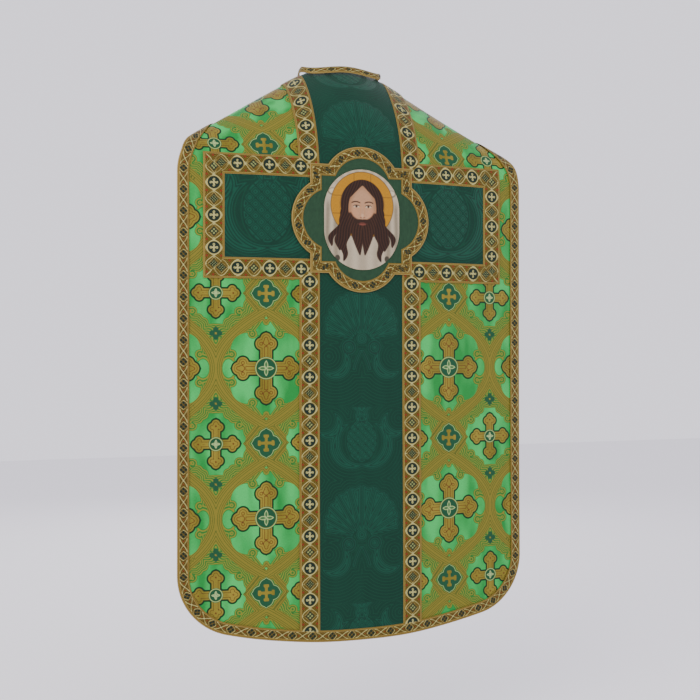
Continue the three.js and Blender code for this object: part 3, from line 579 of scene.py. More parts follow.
def brocade_marks(x, z):
    """The woven figure at a place, as distances in millimetres: the plain ground, the lines
    that echo in the bands, the gold figures, the dark inlays and the light petals."""
    a = folded(x, REPEAT_WIDTH)
    b = folded(z - CROSS_ROW, REPEAT_HEIGHT)
    a2, b2 = REPEAT_WIDTH / 2 - a, REPEAT_HEIGHT / 2 - b
    large = budded_cross(a, b / 1.05, 64)
    small = budded_cross(a2, b2 / 1.03, 44.5)
    along, across = np.maximum(a, b2), np.minimum(a, b2)
    four_lobes = np.maximum(disc(along, across, (12.5, 0), 12.5),
                            np.minimum(27.5 - along - 0.9 * across, 12 - across))
    dots_a, dots_b = a2, np.abs(b - 65)
    diamond = (14.5 - dots_a - dots_b) * 0.71
    dot_along, dot_across = np.maximum(dots_a, dots_b), np.minimum(dots_a, dots_b)
    dots = disc(dot_along, dot_across, (6.9, 0), 4.6)

    beside = disc(a, b, (36, 36), 29.5)
    end = (1 - np.hypot((a - 70) / 11, b / 17)) * 11
    above = np.minimum(b - 62, (97 - b) * 0.6 - a * 0.8)
    around = np.minimum.reduce([56 - np.hypot(a2, b2 * 0.95), 62 - b2, a + b2 - 42.5,
                                np.hypot(a2 - 42, b2 - 70) - 32])
    around = around - 2.4 * np.abs(np.sin((a2 - b2) / 7.0))
    ground = np.maximum.reduce([beside, end, above, around, large + 3.5])
    ogee = REPEAT_WIDTH / 2 * (1 - (b / OGEE_HALF) ** 2)
    slant = REPEAT_WIDTH * b / OGEE_HALF ** 2
    from_ogee = np.abs(a - ogee) / np.sqrt(1 + slant ** 2)
    from_frame = np.abs(a / 41 + b2 / 48 - 1) * 31
    band = np.maximum(11.5 - from_ogee, 6.5 - from_frame)
    fleur = np.maximum(disc(a, b, (0, 86), 6.5), np.minimum(8 - a, 3 - np.abs(b - 89)))
    curls = np.maximum.reduce([disc(a, b, (25.5, 64), 9.2), disc(a, b, (64, 26), 9.2),
                               disc(a, b, (50, 105), 9.8), fleur])
    ground = np.minimum(ground, -curls)
    echo = np.minimum(-ground, np.maximum(-four_lobes, 0) + 0.6)
    leafy = np.clip(echo / 6, 0, 1) * np.sin(a / 5.5 + b / 9) * np.sin(b / 6.5 - a / 11)
    echo = echo + 1.3 * leafy
    gold_cross = np.maximum(np.minimum(3.1 - across, 16.4 - along),
                            np.minimum(5.6 - across, 3.2 - np.abs(along - 13)))
    figure = np.maximum.reduce([large, small, gold_cross])
    inlay = np.maximum.reduce([disc(a, b, (0, 0), 17.8), disc(a2, b2, (0, 0), 10.4),
                               np.minimum(four_lobes, -gold_cross), dots])
    ring = np.maximum.reduce([disc(a, b, (0, 0), 20.4), disc(a2, b2, (0, 0), 12.6),
                              four_lobes + 1.5, diamond - 5.5])
    petal = np.maximum.reduce([petals(a, b, 15.5, 3.8), petals(a2, b2, 9.0, 2.4)])
    return {"ground": ground, "echo": echo, "figure": figure, "inlay": inlay, "ring": ring,
            "petal": petal, "band": band}


brocade, tree, shader = cloth_material("silk_brocade_green_gold")
ground, echo, figure, inlay, ring, petal, band = marks_of(
    tree, "ground", "echo", "figure", "inlay", "ring", "petal", "band")
floats = threads(tree, 0.9, 3.2)
# Painted sheen: slow patches where the green satin and the gold are lighter and darker.
sheen = ranged(tree, clouds(tree, 11.0, 1.5), 0.35, 0.65)
satin = mixed(tree, sheen, "#157A30", "#31AB51")
outside = worked(tree, "MULTIPLY", ground, -1.0)
lines = worked(tree, "PINGPONG", echo, 1.9)
gold_lines = worked(tree, "MULTIPLY", lines, -1.0)
leaves = overlaid(tree, "#2B7228", [
    (lines, 1.15, 0.25, "#77701F"), (gold_lines, -0.35, 0.2, "#1C4A1C")])
strands = worked(tree, "PINGPONG", band, 1.75)
braided = overlaid(tree, "#70681F", [(strands, 1.3, 0.25, "#3A4C16")])
banded = overlaid(tree, leaves, [(band, 0.0, 0.3, braided)])
# The gold, with the same painted sheen.
gold = mixed(tree, sheen, "#6A6019", "#837526")
base = overlaid(tree, satin, [
    (outside, 0.0, 0.3, banded), (figure, -3.0, 0.35, "#04260F"), (figure, 0.0, 0.35, gold),
    (figure, 3.0, 0.3, "#4A3413"), (figure, 3.9, 0.3, gold), (figure, 7.2, 0.3, "#552E10"),
    (figure, 8.3, 0.3, gold), (ring, -0.9, 0.25, "#1B4A26"), (ring, 0.0, 0.25, "#8FA864"),
    (ring, 1.3, 0.25, gold), (inlay, -0.5, 0.25, "#12452A"), (petal, 0.0, 0.25, "#93AA6C"),
    (petal, 1.5, 0.25, "#3A6236")])
base = shaded(tree, base, floats, 0.86, 1.1)
height = worked(tree, "MULTIPLY_ADD", floats, 0.6, ranged(tree, figure, -0.6, 0.8))
finished(tree, shader, base, height, (0.5, 0.0005), ranged(tree, outside, -0.3, 0.3, 0.36, 0.55),
         (0.04, 0.35), ranged(tree, figure, -0.3, 0.3, 0.0, 0.15))

COLUMN_HALF = 84
WIDE_GALLOON = 39
NARROW_GALLOON = 22
COLUMN_OUT = COLUMN_HALF + WIDE_GALLOON
BROCADE_UNDER = 10
UNDER_GALLOON = COLUMN_OUT - BROCADE_UNDER
fine_columns = np.concatenate([np.linspace(0, NECK_EDGE, 7),
                               np.linspace(NECK_EDGE, UNDER_GALLOON, 6)[1:],
                               np.linspace(UNDER_GALLOON, SHOULDER_TIP_HALF, 104)[1:],
                               corner_columns])
for side, hand in ((1, "right"), (-1, "left")):
    hung(f"back_brocade_{hand}", body_grids(
        fine_columns, (side,), (150, 520), BROCADE, brocade_marks, margin=1.0),
        brocade, "brocade", ["back_brocade"], BACK_CUT[0] / 2, BACK_CUT[1])

side_steps = np.linspace(UNDER_GALLOON / FRONT_TOP_HALF, 1, 50)
middle_steps = np.linspace(0, UNDER_GALLOON / FRONT_TOP_HALF, 10)
half_steps = np.concatenate([middle_steps, side_steps[1:]])
front_steps = np.concatenate([-half_steps[::-1], half_steps[1:]])
hung("front_brocade_cloth", front_grids(
    front_steps, 280, BROCADE, marks=brocade_marks, margin=1.0),
    brocade, "brocade", ["front_brocade"], *FRONT_CUT, BOTH)

# ---- The cross of damask ---------------------------------------------------------------
# A column down the back and two arms, in dark green self-coloured damask with fans and
# pomegranates.  It is laid on the brocade, and its raw edges are hidden by the galloon.

DAMASK_UNDER = 20
ARM_TO_BORDER = 25
CROSSBAR_HALF_SPAN = BACK_HALF_WIDTH - NARROW_GALLOON - ARM_TO_BORDER
CROSSBAR_CENTRE = -302.0
CROSSBAR_INNER = 154
DAMASK_REPEAT = 376.0
FAN_BASE = -153.0


def damask_marks(x, z):
    """The damask figure: a ribbed fan over two volutes, and below it a pomegranate in leaves,
    as distances inside its satin parts."""
    rise = (z - FAN_BASE + 130) % DAMASK_REPEAT - 130
    radius = np.hypot(x, rise + 8)
    turn = np.arctan2(np.abs(x), rise + 8)
    reach = 98 - 22 * (turn / 1.2) ** 2
    rib = np.abs((turn / 0.26 + 0.5) % 1 - 0.5) * 0.26 * radius
    scallop = reach + 5 * np.abs(np.cos(turn * np.pi / 0.26)) - radius
    fan = np.minimum.reduce([scallop, radius - 20, (1.35 - turn) * radius,
                             0.13 * radius - np.abs(rib - 0.13 * radius) + 2.4,
                             np.maximum(rib - 1.1, 20 - radius)])
    fan = np.minimum(fan, 8.5)
    core = disc(np.abs(x), rise + 8, (0, 8), 11)
    volute = np.hypot(np.abs(x) - 26, rise + 17)
    curl = np.minimum(14 - volute, np.abs(volute - 7) - 1.3)
    leaf = np.minimum(30 - np.hypot(np.abs(x) - 52, rise + 48),
                      np.hypot(np.abs(x) - 66, rise + 34) - 30)
    low = rise - 180
    pome = (1 - np.hypot(x / 30, low / 40)) * 30
    lattice = np.minimum(folded(x + low, 15), folded(x - low, 15)) - 1.2
    crown = np.minimum(22 - np.abs(low - 52), 9 + 0.4 * (low - 52) - np.abs(
        np.abs(x) - 8 * np.abs(np.sin(low / 9))))
    sepal = np.minimum(44 - np.hypot(np.abs(x) - 20, low + 10),
                       np.hypot(np.abs(x) - 2, low + 2) - 42)
    frond = np.minimum(26 - np.hypot(np.abs(x) - 64, low - 30),
                       np.hypot(np.abs(x) - 76, low - 42) - 24)
    stem = np.minimum(2.6 - np.abs(np.abs(x) - 18 * np.abs(np.sin((rise + 20) / 34))),
                      np.minimum(-22 - rise, 60 + rise))
    outline = np.maximum.reduce([fan, core, curl, leaf, np.minimum(pome, lattice), crown,
                                 sepal, frond, stem])
    return {"figure": outline, "echo": np.maximum(-outline, 0)}


damask, tree, shader = cloth_material("silk_damask_dark_green")
figure, echo = marks_of(tree, "figure", "echo")
floats = threads(tree, 0.9, 2.6)
ribs = worked(tree, "PINGPONG", figure, 1.8)
rings = worked(tree, "PINGPONG", echo, 3.0)
# The satin figure is drawn lighter than the plain ground of the same cloth: painted sheen of its
# floats.
satin = overlaid(tree, "#03402E", [(ribs, 1.1, 0.3, "#012C1F")])
plain = mixed(tree, clouds(tree, 7.0, 2.0), "#00271B", "#013424")
base = overlaid(tree, plain, [(rings, 2.3, 0.3, "#023826"), (figure, 0.0, 0.4, satin)])
base = shaded(tree, base, floats, 0.8, 1.15)
height = worked(tree, "MULTIPLY_ADD", floats, 0.7, ranged(tree, figure, -0.5, 0.5))
finished(tree, shader, base, height, (0.45, 0.0004), ranged(tree, figure, -0.3, 0.3, 0.6, 0.45),
         (0.02, 0.5))

COLUMN_CUT = 0.208
ARM_CUT = (0.18, 0.194)
damask_half = COLUMN_HALF + DAMASK_UNDER
column_columns = np.concatenate([np.linspace(0, NECK_EDGE, 32),
                                 np.linspace(NECK_EDGE, damask_half, 17)[1:]])

hung("column_damask_cloth", body_grids(
    column_columns, (1, -1), (140, 500), DAMASK, damask_marks),
    damask, "damask", ["column_damask"], COLUMN_CUT, BACK_CUT[1])

TOP_IN = CROSSBAR_CENTRE + CROSSBAR_INNER / 2
BOTTOM_IN = CROSSBAR_CENTRE - CROSSBAR_INNER / 2
TOP_OUT, BOTTOM_OUT = TOP_IN + WIDE_GALLOON, BOTTOM_IN - WIDE_GALLOON
ARM_IN = CROSSBAR_HALF_SPAN - WIDE_GALLOON
# Each arm shows one fruit, enlarged, with its middle at this (x, z).
ARM_FIGURE = (184, -290)
ARM_FIGURE_SCALE = 1.5
FRUIT_HEIGHT = -349
for side, hand in ((1, "right"), (-1, "left")):
    x = side * np.linspace(damask_half + 1, ARM_IN + DAMASK_UNDER, 80)[None, ::side]
    z = np.linspace(TOP_IN + DAMASK_UNDER, BOTTOM_IN - DAMASK_UNDER, 98)[:, None]
    x, z = np.broadcast_arrays(x, z)
    s = back_level(x) - z
    turned = damask_marks((np.abs(x) - ARM_FIGURE[0]) / ARM_FIGURE_SCALE,
                          (z - ARM_FIGURE[1]) / ARM_FIGURE_SCALE + FRUIT_HEIGHT)
    hung(f"crossbar_damask_cloth_{hand}", [
        grid(x, s, DAMASK[1], DAMASK[0], np.stack([x, z], -1), turned)],
        damask, "damask", [f"crossbar_damask_{hand}"], *ARM_CUT)

hung("front_column_cloth", front_grids(
    np.linspace(-1, 1, 100), 260, DAMASK, widest=damask_half, marks=damask_marks),
    damask, "damask", ["front_column_damask"], COLUMN_CUT, FRONT_CUT[1], BOTH)

# ---- The wide galloon ------------------------------------------------------------------
# A 39 mm braid of gilt thread and silk, woven with ringed crosses and concave diamonds and a
# cream line that winds between them.  It edges the column and the arms, mitred at the corners.

RING_SPACING = 60.0
WIND = 14.8


def wide_marks(u, v):
    """The wide braid's figure: u along it, v across it from its middle."""
    a = folded(u, RING_SPACING)
    b = np.abs(v)
    radius = np.hypot(a, b)
    ring = 0.9 - np.abs(radius - 12.6)
    dark = 11.2 - radius
    along, across = np.maximum(a, b), np.minimum(a, b)
    cross = np.maximum(disc(along, across, (5.6, 0), 2.5), np.minimum(1.3 - across, 7 - along))
    from_middle = RING_SPACING / 2 - a
    curve = (from_middle / 13.5 + 1e-6) ** 0.8 + (b / 13) ** 0.8
    diamond = (1 - curve) * 11
    odd = (np.floor(u / RING_SPACING) % 2) > 0
    d_along, d_across = np.maximum(from_middle, b), np.minimum(from_middle, b)
    flower = np.where(odd, disc(d_along, d_across, (3.6, 0), 1.9),
                      disc(folded(from_middle + b, 5.0), folded(from_middle - b, 5.0),
                           (0, 0), 1.5))
    flower = np.minimum(flower, diamond - 1.6)
    wind = WIND * np.cos(2 * np.pi * u / RING_SPACING)
    slope = np.abs(2 * np.pi / RING_SPACING * WIND * np.sin(2 * np.pi * u / RING_SPACING))
    winding = 0.75 - np.abs(v - wind) / np.sqrt(1 + slope ** 2)
    crossing = 0.75 - np.abs(v + wind) / np.sqrt(1 + slope ** 2)
    light = np.maximum.reduce([ring, winding, crossing, 0.5 - np.abs(diamond),
                               np.minimum(cross, 0.9 - np.abs(cross - 0.4))])
    fleck = disc(folded(u - 15, 30), b, (0, 13.2), 2.3)
    return {"light": light, "dark": np.maximum(dark, diamond - 2.4), "fleck": fleck,
            "flower": np.maximum(flower, cross - 0.9), "edge": b - 16.6}


def braid_material(name, ground_hex, shade_between_floats_hex, edge_hex):
    """Gilt braid: metal thread wound on silk, in short slanting floats; their glitter is painted,
    lighter on the tops of the floats and darker between them.
    """
    made, tree, shader = cloth_material(name)
    light, dark, fleck, flower, edge = marks_of(tree, "light", "dark", "fleck", "flower", "edge")
    floats = threads(tree, 1.6, 0.8)
    gilt = ranged(tree, floats, 0.35, 0.65)
    # Painted glint and shade: the ground colour on the tops of the floats, the shade colour between
    # them; the edge stripe likewise.
    base = mixed(tree, gilt, shade_between_floats_hex, ground_hex)
    stripe = mixed(tree, gilt, "#523D14", edge_hex)
    inward = worked(tree, "PINGPONG", dark, 1.25)
    base = overlaid(tree, base, [
        (inward, 0.75, 0.2, "#3B260E"), (fleck, 0.0, 0.3, "#702E16"), (dark, 0.0, 0.25, "#0C1F16"),
        (flower, 0.0, 0.25, "#7A8048"), (light, 0.0, 0.25, "#A29C62"),
        (edge, -0.5, 0.15, "#8C7842"), (edge, 0.3, 0.15, stripe), (edge, 2.1, 0.15, "#84703C")])
    height = worked(tree, "MULTIPLY_ADD", ranged(tree, light, -0.5, 0.5), 0.6, floats)
    finished(tree, shader, base, height, (0.6, 0.0006), 0.46,
             metallic=ranged(tree, dark, 0.3, -0.3, 0.0, 0.35))
    return made


wide_braid = braid_material("gilt_braid_wide", "#76671D", "#4A3D12", "#7C6A20")
WIDE_CUT = 0.039
EDGE_DOWN = 1.0
WIDE_CROWN = 0.7


def crowned(share, top, edge):
    """The level of a braid across its width: flat, and rounded down at both edges."""
    return top - edge * np.abs(2 * share - 1) ** 8


across_braid = np.linspace(0, 1, 26)[:, None]


def wide_length(x, s, side, u, figure_from=0.0):
    """A length of wide braid through places (x, s), its figure counted along u."""
    v = (across_braid - 0.5) * WIDE_GALLOON + 0 * u
    return grid(x * side, s, crowned(across_braid, TRIM[1], WIDE_CROWN) + 0 * s, TRIM[0] - EDGE_DOWN,
                np.stack([u, v], -1), wide_marks(u - figure_from, v))


def straight_braid(start, end, side, along):
    """A mitred length: start and end are pairs of (x, z), at its inner and outer edge."""
    start, end = np.array(start), np.array(end)
    t = np.linspace(0, 1, int(np.hypot(*(end[0] - start[0])) / 1.4) + 2)
    inner, outer = (a[:, None] + (b - a)[:, None] * t for a, b in zip(start, end))
    x, z = (a + (b - a) * across_braid for a, b in zip(inner, outer))
    u, figure_from = (z, CROSSBAR_CENTRE) if along == "z" else (x, 0)
    made = [wide_length(x, back_level(x) - z, side, u, figure_from)]
    return made if side > 0 else wrong_way(made)


def length_along(x, s):
    """Length along a column's braid: its figures lie level where the cloth hangs, and square
    to the braid where it goes over the shoulder."""
    middle = COLUMN_HALF + WIDE_GALLOON / 2
    settled = smooth(np.abs(s), 20, 200)
    behind = settled * (back_level(x) - back_level(middle))
    before = -settled * (front_level(x) - front_level(middle))
    return back_level(middle) - s - CROSSBAR_CENTRE + np.where(s >= 0, behind, before)


corner = {"in_top": (COLUMN_HALF, TOP_IN), "out_top": (COLUMN_OUT, TOP_OUT),
          "in_low": (COLUMN_HALF, BOTTOM_IN), "out_low": (COLUMN_OUT, BOTTOM_OUT),
          "end_in_top": (ARM_IN, TOP_IN), "end_out_top": (CROSSBAR_HALF_SPAN, TOP_OUT),
          "end_in_low": (ARM_IN, BOTTOM_IN), "end_out_low": (CROSSBAR_HALF_SPAN, BOTTOM_OUT)}
arm_lengths = {
    "top": (("end_in_top", "end_out_top"), ("in_top", "out_top"), "x", 0.219),
    "end": (("end_out_low", "end_in_low"), ("end_out_top", "end_in_top"), "z", 0.232),
    "bottom": (("in_low", "out_low"), ("end_in_low", "end_out_low"), "x", 0.219)}
x = COLUMN_HALF + WIDE_GALLOON * across_braid
column_lengths = (
    ("column", "_upper", upper_edge(x), back_level(x) - (TOP_IN + WIDE_GALLOON * across_braid),
     400, 1, ("back",)),
    ("column", "_lower", back_level(x) - (BOTTOM_IN - WIDE_GALLOON * across_braid),
     hem_length(x) - NARROW_GALLOON + 2, 520, 1, ("back",)),
    ("front_column", "", -SEAM_DROP - front_level(x),
     -(FRONT_DROP - NARROW_GALLOON + 2) - front_level(x), 450, -1, BOTH))
for side, hand in ((1, "right"), (-1, "left")):
    for part, (start, end, along, cut) in arm_lengths.items():
        hung(f"crossbar_braid_{part}_{hand}",
             straight_braid([corner[name] for name in start], [corner[name] for name in end],
                            side, along),
             wide_braid, "wide_galloon", [f"crossbar_galloon_{part}_{hand}"], WIDE_CUT, cut)
    for name, part, top, foot, count, turned_side, bodies in column_lengths:
        s = top + (foot - top) * np.linspace(0, 1, count)
        made = [wide_length(x + 0 * s, s, side, length_along(x, s))]
        hung(f"{name}_braid{part}_{hand}", wrong_way(made) if side == turned_side else made,
             wide_braid, "wide_galloon", [f"{name}_galloon{part}_{hand}"], WIDE_CUT,
             bodies=bodies)

# ---- The narrow galloon ----------------------------------------------------------------
# A 22 mm braid of the same make, with small four-dot lozenges linked by crossing lines.  It
# binds the whole edge of the back and the front, stands round the neck and frames the picture.

LOZENGE_SPACING = 39.5


def narrow_marks(u, v):
    """The narrow braid's figure: u along it, v across it, plus towards the outer edge."""
    a = folded(u, LOZENGE_SPACING)
    b = np.abs(v + 0.6)
    along, across = np.maximum(a, b), np.minimum(a, b)
    dots = disc(along, across, (4.1, 0), 2.5)
    outline = 0.65 - np.abs((a + b) * 0.55 + np.hypot(a, b) * 0.4 - 8.0)
    link = 6.8 * np.cos(np.pi * np.clip((a - 6) / (LOZENGE_SPACING / 2 - 6), 0, 1) / 2)
    strands = np.minimum(0.7 - np.abs(b - link) * 0.85, a - 7)
    small = (2.7 - (LOZENGE_SPACING / 2 - a) - b) * 0.7
    light = np.maximum.reduce([outline, strands])
    fleck = disc(a, b, (12.5, 0), 1.4)
    edge = np.where(v > 0, v - 9.3 + 2.6, -v - 8.6)
    return {"light": light, "dark": np.maximum(dots, small), "fleck": fleck,
            "flower": small - 9, "edge": edge}


narrow_braid = braid_material("gilt_braid_narrow", "#705F1D", "#463812", "#7A6620")
# The cut width is the part that lies on the face; the outer edge also turns down round the
# cloths by the wrap.
NARROW_CUT = 0.022
EDGE_WRAP = 5.2
NARROW_CROWN = 0.8
ROW_SPACING = 1.5


def edge_strip(x, s, turned=False):
    """A narrow braid of even width just inside an edge of points (x, s): each point is moved square
    to the edge as measured on the cloth, and the rows are spaced evenly along it."""
    step = np.linalg.norm(np.diff(surface(x, s), axis=0), axis=1)
    run = np.concatenate([[0], np.cumsum(step)])
    even = np.linspace(0, run[-1], int(run[-1] / ROW_SPACING))
    x, s = np.interp(even, run, x), np.interp(even, run, s)
    across, along = directions(x, s)
    xx, xs, ss = (across * across).sum(1), (across * along).sum(1), (along * along).sum(1)
    reach = 6
    dx, ds = (np.interp(even + reach, even, c) - np.interp(even - reach, even, c)
              for c in (x, s))
    nx, ns = -(xs * dx + ss * ds), xx * dx + xs * ds
    size = np.sqrt(xx * nx * nx + 2 * xs * nx * ns + ss * ns * ns)
    share = np.linspace(0, 1, 17)[:, None]
    width = -NARROW_GALLOON if turned else NARROW_GALLOON
    place_x = x + width * share * nx / size
    place_s = s + width * share * ns / size
    uv = np.stack([even + 0 * share, NARROW_GALLOON / 2 - NARROW_GALLOON * share + 0 * even], -1)
    return grid(place_x, place_s, crowned(share, TRIM[1], NARROW_CROWN) + 0 * place_x,
                TRIM[0] - EDGE_WRAP * (1 - share), uv, narrow_marks(uv[..., 0], uv[..., 1]))


def mirrored_edge(x, s):
    """The whole edge from the edge of one half, which ends in the middle."""
    return np.concatenate([x, -x[-2::-1]]), np.concatenate([s, s[-2::-1]])


swing_x = SHOULDER_TIP_HALF + (FRONT_TOP_HALF - SHOULDER_TIP_HALF) * np.sin(
    np.linspace(np.pi / 2, 0, 160))
shoulder_x = SHOULDER_TIP_HALF + (BACK_HALF_WIDTH - SHOULDER_TIP_HALF) * np.sin(
    np.linspace(0, np.pi / 2, 100))[1:]
corner_x = (HEM_END_X + (BACK_HALF_WIDTH - HEM_END_X) * np.sin(
    np.linspace(np.pi / 2, 0, 160)))
hem_x = np.linspace(HEM_END_X, 0, 120)[1:]
edge_x = np.concatenate([swing_x, shoulder_x, corner_x, hem_x])
edge_s = np.concatenate([upper_edge(swing_x), upper_edge(shoulder_x),
                         hem_length(corner_x), hem_length(hem_x)])
edge_x, edge_s = mirrored_edge(edge_x, edge_s)
hung("back_border_braid", wrong_way([edge_strip(edge_x, edge_s)]),
     narrow_braid, "narrow_galloon", ["back_border_galloon"], NARROW_CUT)

drops = np.concatenate([np.linspace(SEAM_DROP, FRONT_DROP - FRONT_CORNER_RADIUS, 200),
                        FRONT_DROP - FRONT_CORNER_RADIUS * (1 - np.sin(
                            np.linspace(0, np.pi / 2, 80)[1:]))])
edge_x = np.concatenate([front_half(drops), np.linspace(
    FRONT_HEM_HALF - FRONT_CORNER_RADIUS, 0, 80)[1:]])
edge_drop = np.concatenate([drops, np.full(79, FRONT_DROP)])
edge_x, edge_drop = mirrored_edge(edge_x, edge_drop)
hung("front_border_braid", [edge_strip(edge_x, -edge_drop - front_level(edge_x), turned=True)],
     narrow_braid, "narrow_galloon", ["front_border_galloon"], NARROW_CUT, bodies=BOTH)

# The neck braid stands up round the back and sides and lies flat in front.
ROUND_EASE = 1.05
NECK_STAND_LEAN = np.radians(20)
FLAT_FROM = 90
turn = np.linspace(0, 2 * np.pi, 481)
cut = np.where(np.cos(turn) >= 0, NECK_BACK_CUT, NECK_FRONT_CUT)
foot_s = cut * np.cos(turn)
foot_x = np.sign(np.sin(turn)) * neck_half(foot_s, 0)
top_s = (cut - NARROW_GALLOON) * np.cos(turn)
top_x = np.sign(np.sin(turn)) * neck_half(top_s, NARROW_GALLOON)
standing = smooth(foot_s, -FLAT_FROM, 0)[:, None]
foot, flat_top = surface(foot_x, foot_s), surface(top_x, top_s)
inward = (flat_top - foot) * [1, 1, 0]
inward /= np.maximum(np.linalg.norm(inward, axis=1, keepdims=True), 1e-9)
rise = [0, 0, np.cos(NECK_STAND_LEAN)] + inward * np.sin(NECK_STAND_LEAN)
top = flat_top * (1 - standing) + (foot + rise * NARROW_GALLOON) * standing


def face_of(x, s):
    """The outward direction of the hanging surface."""
    lifted = hanging(x, s, 1.0) - hanging(x, s, 0.0)
    return lifted / np.linalg.norm(lifted, axis=-1, keepdims=True)


foot_face = face_of(foot_x, foot_s)
top_face = face_of(top_x, top_s) * (1 - standing) - inward * standing
top_face /= np.linalg.norm(top_face, axis=1, keepdims=True)
share = np.linspace(0, 1, 17)[:, None, None]
line = foot + (top - foot) * share
face = foot_face + (top_face - foot_face) * share
face /= np.linalg.norm(face, axis=-1, keepdims=True)
run = np.concatenate([[0], np.cumsum(np.linalg.norm(np.diff(foot, axis=0), axis=1))])
rounded = crowned(share, NECK_TRIM[1], 0.4)
neck_uv = np.stack([run + 0 * share[..., 0], NARROW_GALLOON * (0.5 - share[..., 0]) + 0 * run],
                   -1)
neck_figure = narrow_marks(neck_uv[..., 0], neck_uv[..., 1])
outer_side = {"points": line + face * rounded, "under": line + face * NECK_TRIM[0],
              "uv": neck_uv, "marks": neck_figure}
inner_side = {"points": line + face * NECK_TRIM[0], "under": line + face * rounded,
              "uv": neck_uv, "marks": neck_figure}
hung("neck_braid", [outer_side] + wrong_way([inner_side]),
     narrow_braid, "narrow_galloon", ["neck_galloon"], NARROW_CUT, faces=2, ease=ROUND_EASE)

# ---- The medallion ---------------------------------------------------------------------
# A square with a round lobe on each side, in plain dull green cloth, sewn over the crossing.
# It is framed by the narrow braid, and carries a bearded head with a halo, worked in silks on
# a hanging veil.

SQUARE_HALF = 103
LOBE_RADIUS = 80
LOBE_RISE = 36
GROUND_CUT = (0.256, 0.256)
PICTURE_CUT = (0.152, 0.192)
FRAME_WRAP = 1.6


def medallion_outline(inset, count):
    """The outline as (x, z) round the medallion, drawn in by an inset: for each side a corner
    and the arc of its lobe."""
    half = SQUARE_HALF - inset
    radius = LOBE_RADIUS - inset
    centre = SQUARE_HALF + LOBE_RISE - LOBE_RADIUS
    opening = np.arccos((half - centre) / radius)
    angle = np.linspace(-opening, opening, count)
    straight = np.linspace(-half, -radius * np.sin(opening), max(int(count / 6), 2))[:-1]
    x = np.concatenate([np.full(len(straight), half), centre + radius * np.cos(angle),
                        np.full(len(straight), half)])
    z = np.concatenate([straight, radius * np.sin(angle), -straight[::-1]])
    sides = [(x * np.cos(k * np.pi / 2) - z * np.sin(k * np.pi / 2),
              x * np.sin(k * np.pi / 2) + z * np.cos(k * np.pi / 2)) for k in range(4)]
    x, z = (np.concatenate(part) for part in zip(*sides))
    return np.append(x, x[0]), np.append(z, z[0])


medallion_cloth, tree, shader = cloth_material("medallion_wool_cloth")
floats = threads(tree, 1.1, 1.1)
tone = mixed(tree, clouds(tree, 30.0, 3.0), "#183020", "#27452E")
finished(tree, shader, tone, floats, (0.5, 0.0004), 0.8, (0.06, 0.5))

out_x, out_z = medallion_outline(NARROW_GALLOON / 2, 30)
share = np.linspace(0, 1, 24)[:, None]
x, z = out_x * share, out_z * share + CROSSBAR_CENTRE
hung("medallion_cloth", [
    grid(x, back_level(x) - z, MEDALLION[1], MEDALLION[0], np.stack([x, z], -1))],
    medallion_cloth, "medallion_cloth", ["medallion_ground"], *GROUND_CUT)

outer_x, outer_z = medallion_outline(0, 60)
inner_x, inner_z = medallion_outline(NARROW_GALLOON, 60)
run = np.concatenate([[0], np.cumsum(np.hypot(np.diff(outer_x), np.diff(outer_z)))])
share = np.linspace(0, 1, 17)[:, None]
x = outer_x + (inner_x - outer_x) * share
z = outer_z + (inner_z - outer_z) * share + CROSSBAR_CENTRE
uv = np.stack([run + 0 * share, NARROW_GALLOON * (0.5 - share) + 0 * run], -1)
frame_grid = grid(x, back_level(x) - z, crowned(share, MEDALLION_TOP[1], NARROW_CROWN) + 0 * x,
                  MEDALLION_TOP[0] - FRAME_WRAP * (1 - share), uv, narrow_marks(uv[..., 0], uv[..., 1]))
hung("medallion_braid", wrong_way([frame_grid]),
     narrow_braid, "narrow_galloon", ["medallion_galloon"], NARROW_CUT, ease=ROUND_EASE)

# The picture: silks laid side by side on linen, coloured stitch by stitch.
PICTURE_HALF_WIDTH = 76
PICTURE_HALF_HEIGHT = 96
HALO_Z = 28


def spot(x, z, at, size, soft=0.7):
    """Cover of an ellipse, 1 inside and 0 outside."""
    inside = (1 - np.hypot((x - at[0]) / size[0], (z - at[1]) / size[1])) * min(size)
    return smooth(inside, -soft, soft)


